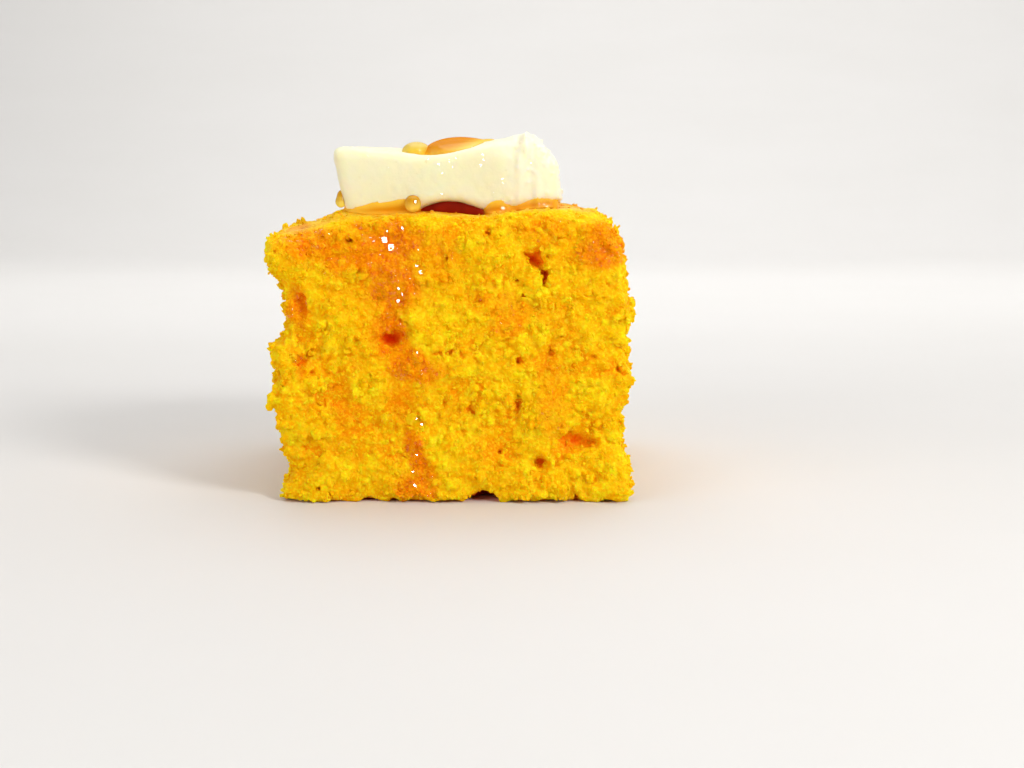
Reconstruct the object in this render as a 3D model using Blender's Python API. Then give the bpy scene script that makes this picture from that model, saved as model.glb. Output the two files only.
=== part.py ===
"""A square of cornbread with a pat of softened butter on its crust.

The row frame has +Z up and its origin on the surface that the square stands on, under its middle.
The front is at -Y: the cut face with the large pores, and the butter sits near that edge.
Units are metres.
"""

import math

import bmesh
import bpy
from mathutils import Vector, noise

MM = 0.001

# Cornbread
BREAD_WIDTH = 58.0 * MM
BREAD_DEPTH = 56.0 * MM
BREAD_HEIGHT = 47.4 * MM
CORNER_RADIUS = 1.6 * MM
CELL = 2.4 * MM

# The crust's fall from that height
LEFT_SAG = 3.4 * MM
LEFT_SAG_FROM = 0.35
BACK_SAG = 2.2 * MM
CREST = 1.0 * MM
CREST_AT = 0.56
SHOULDER = 6.5 * MM
SHOULDER_DROP = 7.0 * MM
FRONT_ROLL = 3.0 * MM
FRONT_ROLL_DROP = 1.4 * MM
CRUST_UNEVENNESS = 0.35 * MM

# Cut faces
TEAR_DEPTH = 1.0 * MM
TEAR_WAVE = 6.5 * MM
CRUMBLE_DEPTH = 0.55 * MM
CRUMBLE_WAVE = 2.6 * MM
FOOT = 1.5 * MM

# A chunk pulled out of the left cut face
SCOOP_CENTRE = Vector((-BREAD_WIDTH / 2, -0.016, 0.0335))
SCOOP_RADIUS = 10.0 * MM
SCOOP_DEPTH = 2.2 * MM

# Pores: (distance across the face, height, half width, half height, depth, roll in degrees).
# Across is +X seen in the front and back faces, and +Y in the sides.
FRONT_PORES = (
    (-10.1 * MM, 27.2 * MM, 1.9 * MM, 1.2 * MM, 3.4 * MM, 12),
    (13.2 * MM, 40.2 * MM, 1.7 * MM, 0.9 * MM, 3.2 * MM, -20),
    (15.2 * MM, 37.6 * MM, 1.9 * MM, 0.8 * MM, 2.9 * MM, -62),
    (20.6 * MM, 9.9 * MM, 2.9 * MM, 1.5 * MM, 2.6 * MM, -4),
    (14.6 * MM, 6.6 * MM, 1.4 * MM, 1.0 * MM, 2.0 * MM, 0),
    (10.9 * MM, 17.6 * MM, 1.3 * MM, 1.1 * MM, 1.8 * MM, 30),
    (-24.4 * MM, 24.8 * MM, 1.5 * MM, 1.5 * MM, 1.9 * MM, 0),
)
BACK_PORES = (
    (-15.0 * MM, 33.0 * MM, 2.4 * MM, 1.4 * MM, 3.0 * MM, 15),
    (8.0 * MM, 24.0 * MM, 1.6 * MM, 1.1 * MM, 2.6 * MM, -30),
    (17.0 * MM, 12.0 * MM, 2.0 * MM, 1.2 * MM, 2.4 * MM, 8),
    (-6.0 * MM, 9.0 * MM, 1.5 * MM, 1.0 * MM, 2.2 * MM, 40),
)
LEFT_PORES = (
    (9.0 * MM, 32.0 * MM, 2.1 * MM, 1.3 * MM, 2.8 * MM, -10),
    (16.0 * MM, 13.0 * MM, 1.6 * MM, 1.2 * MM, 2.4 * MM, 35),
    (-4.0 * MM, 10.0 * MM, 2.3 * MM, 1.2 * MM, 2.6 * MM, 5),
)
RIGHT_PORES = (
    (-9.0 * MM, 28.0 * MM, 2.2 * MM, 1.4 * MM, 2.9 * MM, 20),
    (6.0 * MM, 17.0 * MM, 1.7 * MM, 1.0 * MM, 2.5 * MM, -25),
    (14.0 * MM, 33.0 * MM, 1.8 * MM, 1.2 * MM, 2.4 * MM, 0),
    (-17.0 * MM, 9.0 * MM, 1.5 * MM, 1.1 * MM, 2.2 * MM, 50),
)

# Butter
BUTTER_WIDTH = 36.2 * MM
BUTTER_DEPTH = 29.0 * MM
BUTTER_THICKNESS = 11.2 * MM
BUTTER_CENTRE = Vector((-1.0 * MM, -8.6 * MM, 0))
BUTTER_LEAN = 2.2 * MM
BUTTER_ROUNDING = 1.6 * MM
BUTTER_CELL = 1.7 * MM
BUTTER_TURN = math.radians(2)
SEAT_GAP = 0.35 * MM
ARCH_HEIGHT = 1.5 * MM
ARCH_CENTRE = -0.055
ARCH_HALF_SPAN = 0.3
HOLLOW_DEPTH = 2.0 * MM
HOLLOW_CENTRE = (-0.1, -0.3)
HOLLOW_SPREAD = (0.33, 0.85)
RISE_HEIGHT = 1.6 * MM
RISE_CENTRE = (0.68, -0.5)
RISE_SPREAD = (0.38, 0.75)
PEAK_HEIGHT = 1.0 * MM
PEAK_CENTRE = (0.82, -0.6)
PEAK_SPREAD = (0.13, 0.5)
RIGHT_END_DROP = 1.3 * MM


def ease(t):
    """0 before 0, 1 after 1, and a smooth step in between."""
    t = min(max(t, 0.0), 1.0)
    return t * t * (3 - 2 * t)


def quarter_round(t):
    """How far a quarter of an ellipse has fallen at t of its width: 0 at 0, 1 at 1."""
    t = min(max(t, 0.0), 1.0)
    return 1 - math.sqrt(1 - t * t)


def hill(x, centre, spread):
    return math.exp(-(((x - centre) / spread) ** 2))


def crust_height(x, y):
    """Height of the crust above the base, at (x, y)."""
    across, back = 2 * x / BREAD_WIDTH, 2 * y / BREAD_DEPTH
    height = BREAD_HEIGHT
    height -= LEFT_SAG * ease((-across - LEFT_SAG_FROM) / (1 - LEFT_SAG_FROM))
    height -= BACK_SAG * ease(back)
    height += CREST * hill(across, CREST_AT, 0.22)
    height -= SHOULDER_DROP * quarter_round((x - BREAD_WIDTH / 2 + SHOULDER) / SHOULDER)
    edge = (abs(y) - BREAD_DEPTH / 2 + FRONT_ROLL) / FRONT_ROLL
    height -= FRONT_ROLL_DROP * quarter_round(edge)
    return height + CRUST_UNEVENNESS * noise.noise(Vector((x, y, 0)) / (9 * MM))


def grid_block(size, cell):
    """A box centred on the origin, its faces cut into cells of about that size."""
    mesh = bmesh.new()
    bmesh.ops.create_cube(mesh, size=1)
    for axis in range(3):
        along = [
            edge
            for edge in mesh.edges
            if abs(edge.verts[0].co[axis] - edge.verts[1].co[axis]) > 0.5
        ]
        cuts = max(1, round(size[axis] / cell)) - 1
        bmesh.ops.subdivide_edges(mesh, edges=along, cuts=cuts, use_grid_fill=True)
    bmesh.ops.scale(mesh, vec=size, verts=mesh.verts)
    return mesh


def round_off(point, size, radius):
    """Moves a point of a box's surface to the same box with its edges rounded."""
    half = size / 2
    inner = Vector(
        min(max(c, radius - h), h - radius) for c, h in zip(point, half, strict=True)
    )
    out = point - inner
    return inner + out.normalized() * radius if out.length > 0 else point.copy()


def torn(point):
    """How far the cut faces stand out from flat: long tears and short crumbles."""
    tear = noise.noise(point / TEAR_WAVE + Vector((3.1, 7.7, 1.9)))
    crumble = noise.noise(point / CRUMBLE_WAVE + Vector((11.3, 2.2, 5.8)))
    return TEAR_DEPTH * tear + CRUMBLE_DEPTH * crumble


def cornbread_shape():
    size = Vector((BREAD_WIDTH, BREAD_DEPTH, BREAD_HEIGHT))
    mesh = grid_block(size, CELL)
    for vertex in mesh.verts:
        flat = vertex.co.copy()
        is_side = max(abs(flat.x) / size.x, abs(flat.y) / size.y) > 0.499
        rounded = round_off(flat, Vector((size.x, size.y, 1)), CORNER_RADIUS)
        share = flat.z / size.z + 0.5
        point = Vector((rounded.x, rounded.y, share * crust_height(rounded.x, rounded.y)))
        if is_side:
            outward = Vector((rounded.x / size.x, rounded.y / size.y, 0)) * 2
            outward = Vector((outward.x**9, outward.y**9, 0)).normalized()
            scoop = SCOOP_DEPTH * hill((point - SCOOP_CENTRE).length, 0, SCOOP_RADIUS * 0.7)
            push = torn(point) * ease(point.z / FOOT) - scoop
            point += outward * push
        vertex.co = point
    return mesh


def pore(bank, place, radii, roll, turn):
    """Adds one blunt ellipsoid to a mesh of cutters, lying in a face turned about Z."""
    made = bmesh.ops.create_icosphere(bank, subdivisions=2, radius=1)
    for vertex in made["verts"]:
        lump = 1 + 0.16 * noise.noise(vertex.co * 1.7 + place * 300)
        local = Vector(
            (vertex.co.x * radii[0], vertex.co.y * radii[2], vertex.co.z * radii[1])
        )
        cosine, sine = math.cos(roll), math.sin(roll)
        rolled = Vector(
            (
                local.x * cosine - local.z * sine,
                local.y,
                local.x * sine + local.z * cosine,
            )
        )
        cosine, sine = math.cos(turn), math.sin(turn)
        vertex.co = place + lump * Vector(
            (
                rolled.x * cosine - rolled.y * sine,
                rolled.x * sine + rolled.y * cosine,
                rolled.z,
            )
        )


def pore_cutters():
    """One mesh holding the cutter of every large pore."""
    bank = bmesh.new()
    half_width, half_depth = BREAD_WIDTH / 2, BREAD_DEPTH / 2
    faces = (
        (FRONT_PORES, lambda across, z: Vector((across, -half_depth, z)), 0),
        (BACK_PORES, lambda across, z: Vector((across, half_depth, z)), 0),
        (LEFT_PORES, lambda across, z: Vector((-half_width, across, z)), math.pi / 2),
        (RIGHT_PORES, lambda across, z: Vector((half_width, across, z)), math.pi / 2),
    )
    for pores, place, turn in faces:
        for across, height, half_w, half_h, depth, roll in pores:
            radii = (half_w, half_h, depth)
            pore(bank, place(across, height), radii, math.radians(roll), turn)
    return bank


def butter_shape():
    """A slice of butter: undercut on the left, hollowed by its syrup, and arched below."""
    size = Vector((BUTTER_WIDTH, BUTTER_DEPTH, BUTTER_THICKNESS))
    mesh = grid_block(size, BUTTER_CELL)
    for vertex in mesh.verts:
        point = round_off(vertex.co, size, BUTTER_ROUNDING)
        u, v = 2 * point.x / size.x, 2 * point.y / size.y
        share = point.z / size.z + 0.5
        place = Vector((point.x + BUTTER_LEAN * (0.5 - share), point.y, 0))
        place.x += 0.35 * MM * noise.noise(Vector((place.y, point.z, 0)) / (7 * MM))
        place.y += 0.45 * MM * noise.noise(Vector((place.x, point.z, 9)) / (8 * MM))
        cosine, sine = math.cos(BUTTER_TURN), math.sin(BUTTER_TURN)
        place = BUTTER_CENTRE + Vector(
            (place.x * cosine - place.y * sine, place.x * sine + place.y * cosine, 0)
        )
        arch = max(0.0, 1 - ((u - ARCH_CENTRE) / ARCH_HALF_SPAN) ** 2)
        front = ease((0.2 - v) / 0.8)
        seat = crust_height(place.x, place.y) + SEAT_GAP + ARCH_HEIGHT * arch * front
        hollow = hill(u, HOLLOW_CENTRE[0], HOLLOW_SPREAD[0])
        hollow *= hill(v, HOLLOW_CENTRE[1], HOLLOW_SPREAD[1])
        rise = hill(u, RISE_CENTRE[0], RISE_SPREAD[0])
        rise *= hill(v, RISE_CENTRE[1], RISE_SPREAD[1])
        peak = hill(u, PEAK_CENTRE[0], PEAK_SPREAD[0])
        peak *= hill(v, PEAK_CENTRE[1], PEAK_SPREAD[1])
        top = BREAD_HEIGHT + BUTTER_THICKNESS - 0.4 * MM
        top += RISE_HEIGHT * rise + PEAK_HEIGHT * peak - HOLLOW_DEPTH * hollow
        top -= RIGHT_END_DROP * ease((u - 0.84) / 0.16)
        place.z = seat + share * (top - seat)
        vertex.co = place
    return mesh


def finish(name, colour, roughness):
    """A plain dielectric finish."""
    material = bpy.data.materials.new(name)
    material.use_nodes = True
    shader = material.node_tree.nodes["Principled BSDF"]
    shader.inputs["Base Color"].default_value = (*colour, 1)
    shader.inputs["Roughness"].default_value = roughness
    shader.inputs["Metallic"].default_value = 0.0
    material.diffuse_color = (*colour, 1)
    return material


def middle_of(shape):
    """The middle of a mesh's box, at the base."""
    xs = [vertex.co.x for vertex in shape.verts]
    ys = [vertex.co.y for vertex in shape.verts]
    return Vector((min(xs) + max(xs), min(ys) + max(ys), 0)) / 2


def add_object(name, shape, material=None):
    bmesh.ops.recalc_face_normals(shape, faces=shape.faces)
    mesh = bpy.data.meshes.new(name)
    shape.to_mesh(mesh)
    shape.free()
    thing = bpy.data.objects.new(name, mesh)
    bpy.context.scene.collection.objects.link(thing)
    if material:
        mesh.materials.append(material)
    return thing


def build():
    for old in list(bpy.data.objects):
        bpy.data.objects.remove(old, do_unlink=True)

    crumb = finish("baked_crumb", (0.82, 0.41, 0.01), 0.75)
    butter = finish("soft_butter", (0.93, 0.86, 0.5), 0.35)

    bread_shape = cornbread_shape()
    middle = middle_of(bread_shape)
    bread = add_object("cornbread", bread_shape, crumb)
    cutters = add_object("pore_cutters", pore_cutters())
    cutters.hide_render = True
    cutters.display_type = "WIRE"
    pores = bread.modifiers.new("Large pores", "BOOLEAN")
    pores.operation = "DIFFERENCE"
    pores.solver = "EXACT"
    pores.object = cutters

    pat = add_object("butter_pat", butter_shape(), butter)
    pat.data.shade_smooth()

    for thing in (bread, cutters, pat):
        thing.location = -middle


build()
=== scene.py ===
# %% [markdown]
# # A square of cornbread with butter and syrup
#
# This lesson dresses a plain solid of cornbread as the real thing. Cornbread is a coarse, moist cake of
# maize meal. Its cut faces are torn crumb: grains about a millimetre across, stuck together, with pits
# between them. A pat of soft butter lies on its domed crust, and syrup has pooled in the butter, run down
# and soaked in.
#
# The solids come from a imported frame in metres. Every piece below is made to lie exactly on them.

# %% The frame
import math
from itertools import combinations, product

import bmesh
import bpy
import numpy as np
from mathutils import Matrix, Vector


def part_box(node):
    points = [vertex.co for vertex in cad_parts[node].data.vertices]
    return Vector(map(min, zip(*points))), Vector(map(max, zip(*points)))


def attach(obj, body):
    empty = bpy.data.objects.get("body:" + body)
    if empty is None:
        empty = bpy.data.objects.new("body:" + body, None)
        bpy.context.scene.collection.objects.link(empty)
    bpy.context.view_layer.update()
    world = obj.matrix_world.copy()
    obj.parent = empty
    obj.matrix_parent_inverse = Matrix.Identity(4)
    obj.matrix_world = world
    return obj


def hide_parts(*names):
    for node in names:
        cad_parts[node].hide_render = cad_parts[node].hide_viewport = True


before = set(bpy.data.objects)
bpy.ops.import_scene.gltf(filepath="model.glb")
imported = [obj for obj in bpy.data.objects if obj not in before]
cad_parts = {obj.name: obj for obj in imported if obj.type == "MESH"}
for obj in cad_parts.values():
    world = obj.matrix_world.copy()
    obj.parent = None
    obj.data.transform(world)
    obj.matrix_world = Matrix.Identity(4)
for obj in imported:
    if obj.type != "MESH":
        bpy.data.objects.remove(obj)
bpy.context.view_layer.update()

import openvdb as vdb

MM = 0.001
BODY = "root"
bread_low, bread_high = (np.array(corner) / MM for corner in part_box("cornbread"))
butter_low, butter_high = (np.array(corner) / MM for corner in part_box("butter_pat"))
print("Bread, mm:", bread_low.round(1), bread_high.round(1))
print("Butter, mm:", butter_low.round(1), butter_high.round(1))

# %% [markdown]
# ## The view and the light
#
# The square is looked at from a little above its middle, nearly straight at its front face. Food like this
# is lit softly from nearly all round, so that the yellow stays clean. One large lamp on the right is
# stronger than the rest, which gives the wet places their glints.

# %% The camera
FRONT = bread_low[1]
CAMERA_DISTANCE = 250.0
CAMERA_HEIGHT = 57.4
CAMERA_ASIDE = 9.8
CAMERA_DOWN = math.radians(8.5)
LENS = 54.5

lens = bpy.data.cameras.new("view")
lens.lens = LENS
lens.clip_start = 0.01
camera = bpy.data.objects.new("view", lens)
camera.location = (CAMERA_ASIDE * MM, (FRONT - CAMERA_DISTANCE) * MM, CAMERA_HEIGHT * MM)
camera.rotation_euler = (math.pi / 2 - CAMERA_DOWN, 0, 0)
bpy.context.scene.collection.objects.link(camera)
bpy.context.scene.camera = camera

# %% Colours
def tone(code, alpha=1.0):
    """An sRGB hex colour as the linear values that Blender's sockets take."""
    shares = [int(code[i : i + 2], 16) / 255 for i in (1, 3, 5)]
    linear = [c / 12.92 if c <= 0.04045 else ((c + 0.055) / 1.055) ** 2.4 for c in shares]
    return (*linear, alpha)


def add_node(tree, kind, inputs=None, **settings):
    """Adds a node with its settings. inputs gives a socket a value, or links another node's socket to it."""
    node = tree.nodes.new(kind)
    for name, value in settings.items():
        setattr(node, name, value)
    for socket, value in (inputs or {}).items():
        if isinstance(value, bpy.types.NodeSocket):
            tree.links.new(value, node.inputs[socket])
        else:
            node.inputs[socket].default_value = value
    return node


def new_material(name):
    """An empty material, its node tree and its output node."""
    material = bpy.data.materials.new(name)
    material.use_nodes = True
    tree = material.node_tree
    tree.nodes.clear()
    return material, tree, add_node(tree, "ShaderNodeOutputMaterial")


# ShaderNodeMix numbers its sockets by what they mix: these are the colour ones.
MIX_A, MIX_B, MIX_OUT = 6, 7, 2


def layered(tree, colour, *layers):
    """A colour with others laid over it in turn. Each layer is how much of it shows, and its colour."""
    for share, over in layers:
        mix = add_node(tree, "ShaderNodeMix", {"Factor": share, MIX_A: colour, MIX_B: over}, data_type="RGBA")
        colour = mix.outputs[MIX_OUT]
    return colour


def notes_in(tree, *names):
    """The numbers stored at a mesh's points under those names, as sockets."""
    stored = [add_node(tree, "ShaderNodeAttribute", attribute_name=name) for name in names]
    return [node.outputs["Fac"] for node in stored]


# %% The lamps
def lamp(name, place, aim, size, watts, colour):
    light = bpy.data.lights.new(name, "AREA")
    light.shape = "RECTANGLE"
    light.size, light.size_y = size
    light.energy = watts
    light.color = colour[:3]
    thing = bpy.data.objects.new(name, light)
    thing.visible_camera = False
    thing.location = place
    way = np.array(aim) - np.array(place)
    flat = math.hypot(way[0], way[1])
    thing.rotation_euler = (math.atan2(flat, -way[2]), 0, math.atan2(way[1], way[0]) - math.pi / 2)
    bpy.context.scene.collection.objects.link(thing)
    return thing


MIDDLE = (0.0, 0.0, 0.5 * bread_high[2] * MM)
WINDOW = (0.42, -0.42, 0.36)
WALL = (0.25, 0.81, 0.16)
WHITE, WARM_WHITE = (1.0, 1.0, 1.0), (1.0, 0.99, 0.97)
# Where each lamp stands and what it points at, in metres, its width and height, its watts and its colour.
LAMPS = {
    "window_right": (WINDOW, MIDDLE, (0.17, 0.17), 3.0, WARM_WHITE),
    "softbox_left": ((-0.5, -0.5, 0.22), MIDDLE, (0.45, 0.45), 1.75, WHITE),
    "softbox_top": ((0.0, 0.1, 0.6), MIDDLE, (0.6, 0.6), 1.85, WHITE),
    "softbox_back": ((0.1, 0.6, 0.6), MIDDLE, (0.9, 0.6), 1.0, WHITE),
    "wall_wash": ((0.25, 0.3, 0.45), WALL, (1.4, 0.2), 3.1, WHITE),
}
lamps = {name: lamp(name, *settings) for name, settings in LAMPS.items()}
# A large lamp mirrored in every wet grain would lay a grey veil over the amber, so this one only lights.
lamps["softbox_left"].visible_glossy = False
print("Lamps:", ", ".join(lamps))

# %% The room's own light: dim from the front and bright from behind, where the pale wall is
DIM, BRIGHT = 0.13, 0.68
DIM_UP_TO, BRIGHT_FROM = -0.8, 0.5

world = bpy.data.worlds.new("studio")
world.use_nodes = True
sky = world.node_tree
way = add_node(sky, "ShaderNodeSeparateXYZ", {0: add_node(sky, "ShaderNodeTexCoord").outputs["Generated"]})
brightness = add_node(sky, "ShaderNodeMapRange", {
    "Value": way.outputs["Y"],
    "From Min": DIM_UP_TO, "From Max": BRIGHT_FROM, "To Min": DIM, "To Max": BRIGHT,
})
sky.links.new(brightness.outputs[0], sky.nodes["Background"].inputs["Strength"])
sky.nodes["Background"].inputs["Color"].default_value = tone("#f6f6f6")
bpy.context.scene.world = world
bpy.context.scene.view_settings.view_transform = "Standard"

# %% [markdown]
# ### The floor
#
# Food is shown on a sheet of pale card that bends up behind it, so that no corner between floor and wall
# shows. A flat plane would end in a hard horizon. So one line, flat and then curved up, is drawn out to
# both sides.

# %% The floor, in metres
FLOOR_HALF_WIDTH, FLOOR_FRONT, FLOOR_BACK, WALL_TOP, SWEEP_RADIUS = 3.0, -4.0, 0.55, 1.4, 0.3
SWEEP_STEPS = 16


def sweep_profile():
    """The floor's line in Y and Z: flat, then a quarter turn up into the wall."""
    turn = [0.5 * math.pi * i / SWEEP_STEPS for i in range(SWEEP_STEPS + 1)]
    bend = [(FLOOR_BACK + SWEEP_RADIUS * math.sin(a), SWEEP_RADIUS * (1 - math.cos(a))) for a in turn]
    return [(FLOOR_FRONT, 0.0), *bend, (FLOOR_BACK + SWEEP_RADIUS, WALL_TOP)]


def floor_mesh():
    line = sweep_profile()
    points = [(side * FLOOR_HALF_WIDTH, y, z) for side in (-1, 1) for y, z in line]
    count = len(line)
    faces = [(i, i + count, i + count + 1, i + 1) for i in range(count - 1)]
    mesh = bpy.data.meshes.new("floor")
    mesh.from_pydata(points, [], faces)
    mesh.shade_smooth()
    return mesh


# %% White card: matt paper, hardly warmer than grey, with a faint cloudiness from its pulp
# A studio's sweep is lit evenly far past the table. Here it glows a little where these few lamps don't reach.
GLOW_FROM, GLOW_TO, GLOW = 0.65, 1.3, 0.42
PULP_PER_METRE = 60.0


def card_finish():
    material, tree, out = new_material("white_card")
    pulp = add_node(tree, "ShaderNodeTexNoise", {"Scale": PULP_PER_METRE, "Detail": 4.0})
    colour = layered(tree, tone("#d4d2cf"), (pulp.outputs["Fac"], tone("#d9d7d5")))
    here = add_node(tree, "ShaderNodeTexCoord").outputs["Object"]
    place = add_node(tree, "ShaderNodeSeparateXYZ", {0: here})
    before = add_node(tree, "ShaderNodeMath", {0: place.outputs["Y"], 1: 0.0}, operation="MINIMUM")
    spot = add_node(tree, "ShaderNodeCombineXYZ", {"X": place.outputs["X"], "Y": before.outputs[0]})
    away = add_node(tree, "ShaderNodeVectorMath", {0: spot.outputs[0]}, operation="LENGTH")
    glow = add_node(tree, "ShaderNodeMapRange", {
        "Value": away.outputs["Value"], "From Min": GLOW_FROM, "From Max": GLOW_TO, "To Max": GLOW,
    })
    skin = add_node(tree, "ShaderNodeBsdfPrincipled", {
        "Base Color": colour, "Roughness": 0.8,
        "Emission Color": tone("#fbfaf8"), "Emission Strength": glow.outputs[0],
    })
    tree.links.new(skin.outputs[0], out.inputs["Surface"])
    return material


floor = bpy.data.objects.new("floor", floor_mesh())
floor.data.materials.append(card_finish())
bpy.context.scene.collection.objects.link(floor)

# %% Fields
def node_mesh(name):
    """A frame node's corner points in millimetres, and its triangles."""
    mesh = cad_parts[name].data
    mesh.calc_loop_triangles()
    points = np.array([v.co for v in mesh.vertices], np.float32) / MM
    triangles = np.array([t.vertices for t in mesh.loop_triangles], np.uint32)
    return points, triangles


# The last grid point has no neighbour to blend with, so every place is held this far before it.
BEFORE_LAST = 1.001


class Field:
    """Signed distances in millimetres on an even grid: under 0 inside, over 0 outside."""

    def __init__(self, values, first, voxel):
        self.values, self.first, self.voxel = values, np.array(first), voxel

    def at(self, points):
        """The distance at each point, blended between the eight grid points round it."""
        place = points / self.voxel - self.first
        place = np.clip(place, 0, np.array(self.values.shape) - BEFORE_LAST)
        corner = place.astype(int)
        share = (place - corner).astype(np.float32)
        total = np.zeros(len(points), np.float32)
        for step in product((0, 1), repeat=3):
            weight = np.prod(np.where(step, share, 1 - share), axis=1)
            total += weight * self.values[tuple((corner + step).T)]
        return total

    def places(self, mask):
        """Where the grid points of a mask are."""
        return ((np.argwhere(mask) + self.first) * self.voxel).astype(np.float32)

    def copy(self, values):
        return Field(values, self.first, self.voxel)


def all_of(field):
    """Where all its grid points are."""
    return field.places(np.isfinite(field.values))


BASE_EVENNESS = 0.1


def solid_field(name, voxel, reach, deeper=0.0):
    """A frame node as a field that is exact up to that reach from its surface. deeper moves its base down."""
    points, triangles = node_mesh(name)
    points[points[:, 2] < points[:, 2].min() + BASE_EVENNESS, 2] -= deeper
    transform = vdb.createLinearTransform(voxelSize=voxel)
    grid = vdb.FloatGrid.createLevelSetFromPolygons(
        points, triangles=triangles, transform=transform, halfWidth=reach / voxel
    )
    first = np.floor((points.min(axis=0) - reach) / voxel).astype(int)
    last = np.ceil((points.max(axis=0) + reach) / voxel).astype(int)
    values = np.empty(last - first + 1, np.float32)
    grid.copyToArray(values, ijk=tuple(int(i) for i in first))
    return Field(values, first, voxel)


def blurred(field, width):
    """The field after a bell-shaped blur of that width in millimetres."""
    taps = int(math.ceil(2 * width / field.voxel))
    bell = np.exp(-0.5 * (np.arange(-taps, taps + 1) * field.voxel / width) ** 2)
    bell /= bell.sum()
    values = field.values
    for axis in range(3):
        padding = [(taps, taps) if a == axis else (0, 0) for a in range(3)]
        padded = np.pad(values, padding, mode="edge")
        count = values.shape[axis]
        values = sum(
            weight * padded.take(range(i, i + count), axis=axis) for i, weight in enumerate(bell)
        ).astype(np.float32)
    return field.copy(values)


def skin_of(field, reach):
    """The surface where a field is 0, as points in metres and faces."""
    grid = vdb.FloatGrid(reach)
    grid.transform = vdb.createLinearTransform(voxelSize=field.voxel)
    grid.copyFromArray(np.clip(field.values, -reach, reach), ijk=tuple(int(i) for i in field.first))
    points, triangles, quads = grid.convertToPolygons(isovalue=0.0, adaptivity=0.0)
    return points * MM, [*triangles.tolist(), *quads.tolist()]

# %% [markdown]
# ## The crumb
#
# The cut faces of cornbread are not flat. They tear between the grains of meal, so they are made of round
# lumps with crevices between them, of clumps of such lumps, and of pits where a bubble was. A bump pattern
# can't give that at the outline, and sculpting thousands of grains by hand takes days. So the bread is
# turned into a field of distances, where adding a ball is taking the smaller of two distances, and cutting
# one is taking the larger of one and the other's opposite. Thousands of balls cost no more than that, and
# the skin of the field is one closed mesh.

# %% Sizes of the crumb, in millimetres
CRUMB_VOXEL = 0.35
REACH = 2.8
NEAR_SKIN = 0.8 * REACH
GRAIN_PITCH, GRAIN_SMALLEST, GRAIN_LARGEST, GRAIN_SHARE = 1.0, 0.26, 0.6, 0.9
CLOD_PITCH, CLOD_SMALLEST, CLOD_LARGEST, CLOD_SHARE = 3.1, 0.7, 1.25, 0.4
PIT_PITCH, PIT_SMALLEST, PIT_LARGEST, PIT_SHARE = 2.2, 0.2, 0.75, 0.42
CLUMP_WAVE, LUMP_WAVE = 4.6, 2.0
CRINKLE_WAVE, CRINKLE_DEPTH = 0.85, 0.2
SINK = 0.32
GRAIN_BEND = 0.34
FAR = 9.0


def soft_step(x, low, high):
    """0 below low, 1 above high, and a smooth rise between."""
    t = np.clip((x - low) / (high - low), 0, 1)
    return t * t * (3 - 2 * t)


def soft_union(a, b, blend):
    """The smaller of two distances, with the crease between them filled over that width."""
    share = np.clip(0.5 + 0.5 * (b - a) / blend, 0, 1)
    return b + (a - b) * share - blend * share * (1 - share)


def soft_cut(a, cutter, blend):
    """a with the cutter taken out of it."""
    return -soft_union(-a, cutter, blend)


class Waves:
    """Smooth random waves: random numbers on a grid of that wavelength, blended between. From -1 to 1."""

    def __init__(self, wave, seed, size=64):
        self.wave, self.size = wave, size
        self.numbers = np.random.default_rng(seed).uniform(-1, 1, (self.size,) * 3).astype(np.float32)

    def at(self, points):
        place = points / self.wave
        corner = np.floor(place).astype(int)
        share = (place - corner).astype(np.float32)
        share = share * share * (3 - 2 * share)
        total = np.zeros(len(points), np.float32)
        for step in product((0, 1), repeat=3):
            weight = np.prod(np.where(step, share, 1 - share), axis=1)
            total += weight * self.numbers[tuple(((corner + step) % self.size).T)]
        return total


class Balls:
    """One ball in each cell of a grid, off its middle at random, and kept only where keep() says."""

    OFF_MIDDLE = 0.42

    def __init__(self, low, high, pitch, smallest, largest, seed, keep):
        rng = np.random.default_rng(seed)
        self.pitch, self.low = pitch, np.array(low)
        self.count = np.ceil((np.array(high) - low) / pitch).astype(int) + 1
        cells = np.argwhere(np.ones(self.count, bool))
        aside = rng.uniform(-self.OFF_MIDDLE, self.OFF_MIDDLE, cells.shape)
        self.centres = (low + (cells + 0.5 + aside) * pitch).astype(np.float32)
        self.radii = rng.uniform(smallest, largest, len(cells)).astype(np.float32)
        self.shade = rng.random(len(cells)).astype(np.float32)
        self.kept = keep(self.centres, self.radii, rng)
        self.radii[~self.kept] = -FAR

    def nearest(self, points):
        """For each point, the distance to the nearest ball's surface and that ball's number."""
        cell = ((points - self.low) / self.pitch).astype(int)
        best = np.full(len(points), FAR, np.float32)
        which = np.zeros(len(points), int)
        for step in product((-1, 0, 1), repeat=3):
            near = np.clip(cell + step, 0, self.count - 1)
            number = np.ravel_multi_index(tuple(near.T), self.count)
            away = points - self.centres[number]
            distance = np.sqrt(np.einsum("ij,ij->i", away, away)) - self.radii[number]
            closer = distance < best
            best[closer] = distance[closer]
            which[closer] = number[closer]
        return best, which


# %% [markdown]
# ### The bread as a field
#
# The field's base is moved down first, and cut off flat at the end, so that the bottom edge tears like the
# faces. The left and right faces are then pushed in and out along their height, near the front, because
# torn bread has a ragged outline. The numbers are how far, in millimetres, at a share of the height. The
# crust left of the butter is pushed up as well, because it baked into a low mound there, a little behind
# the front edge.

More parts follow.
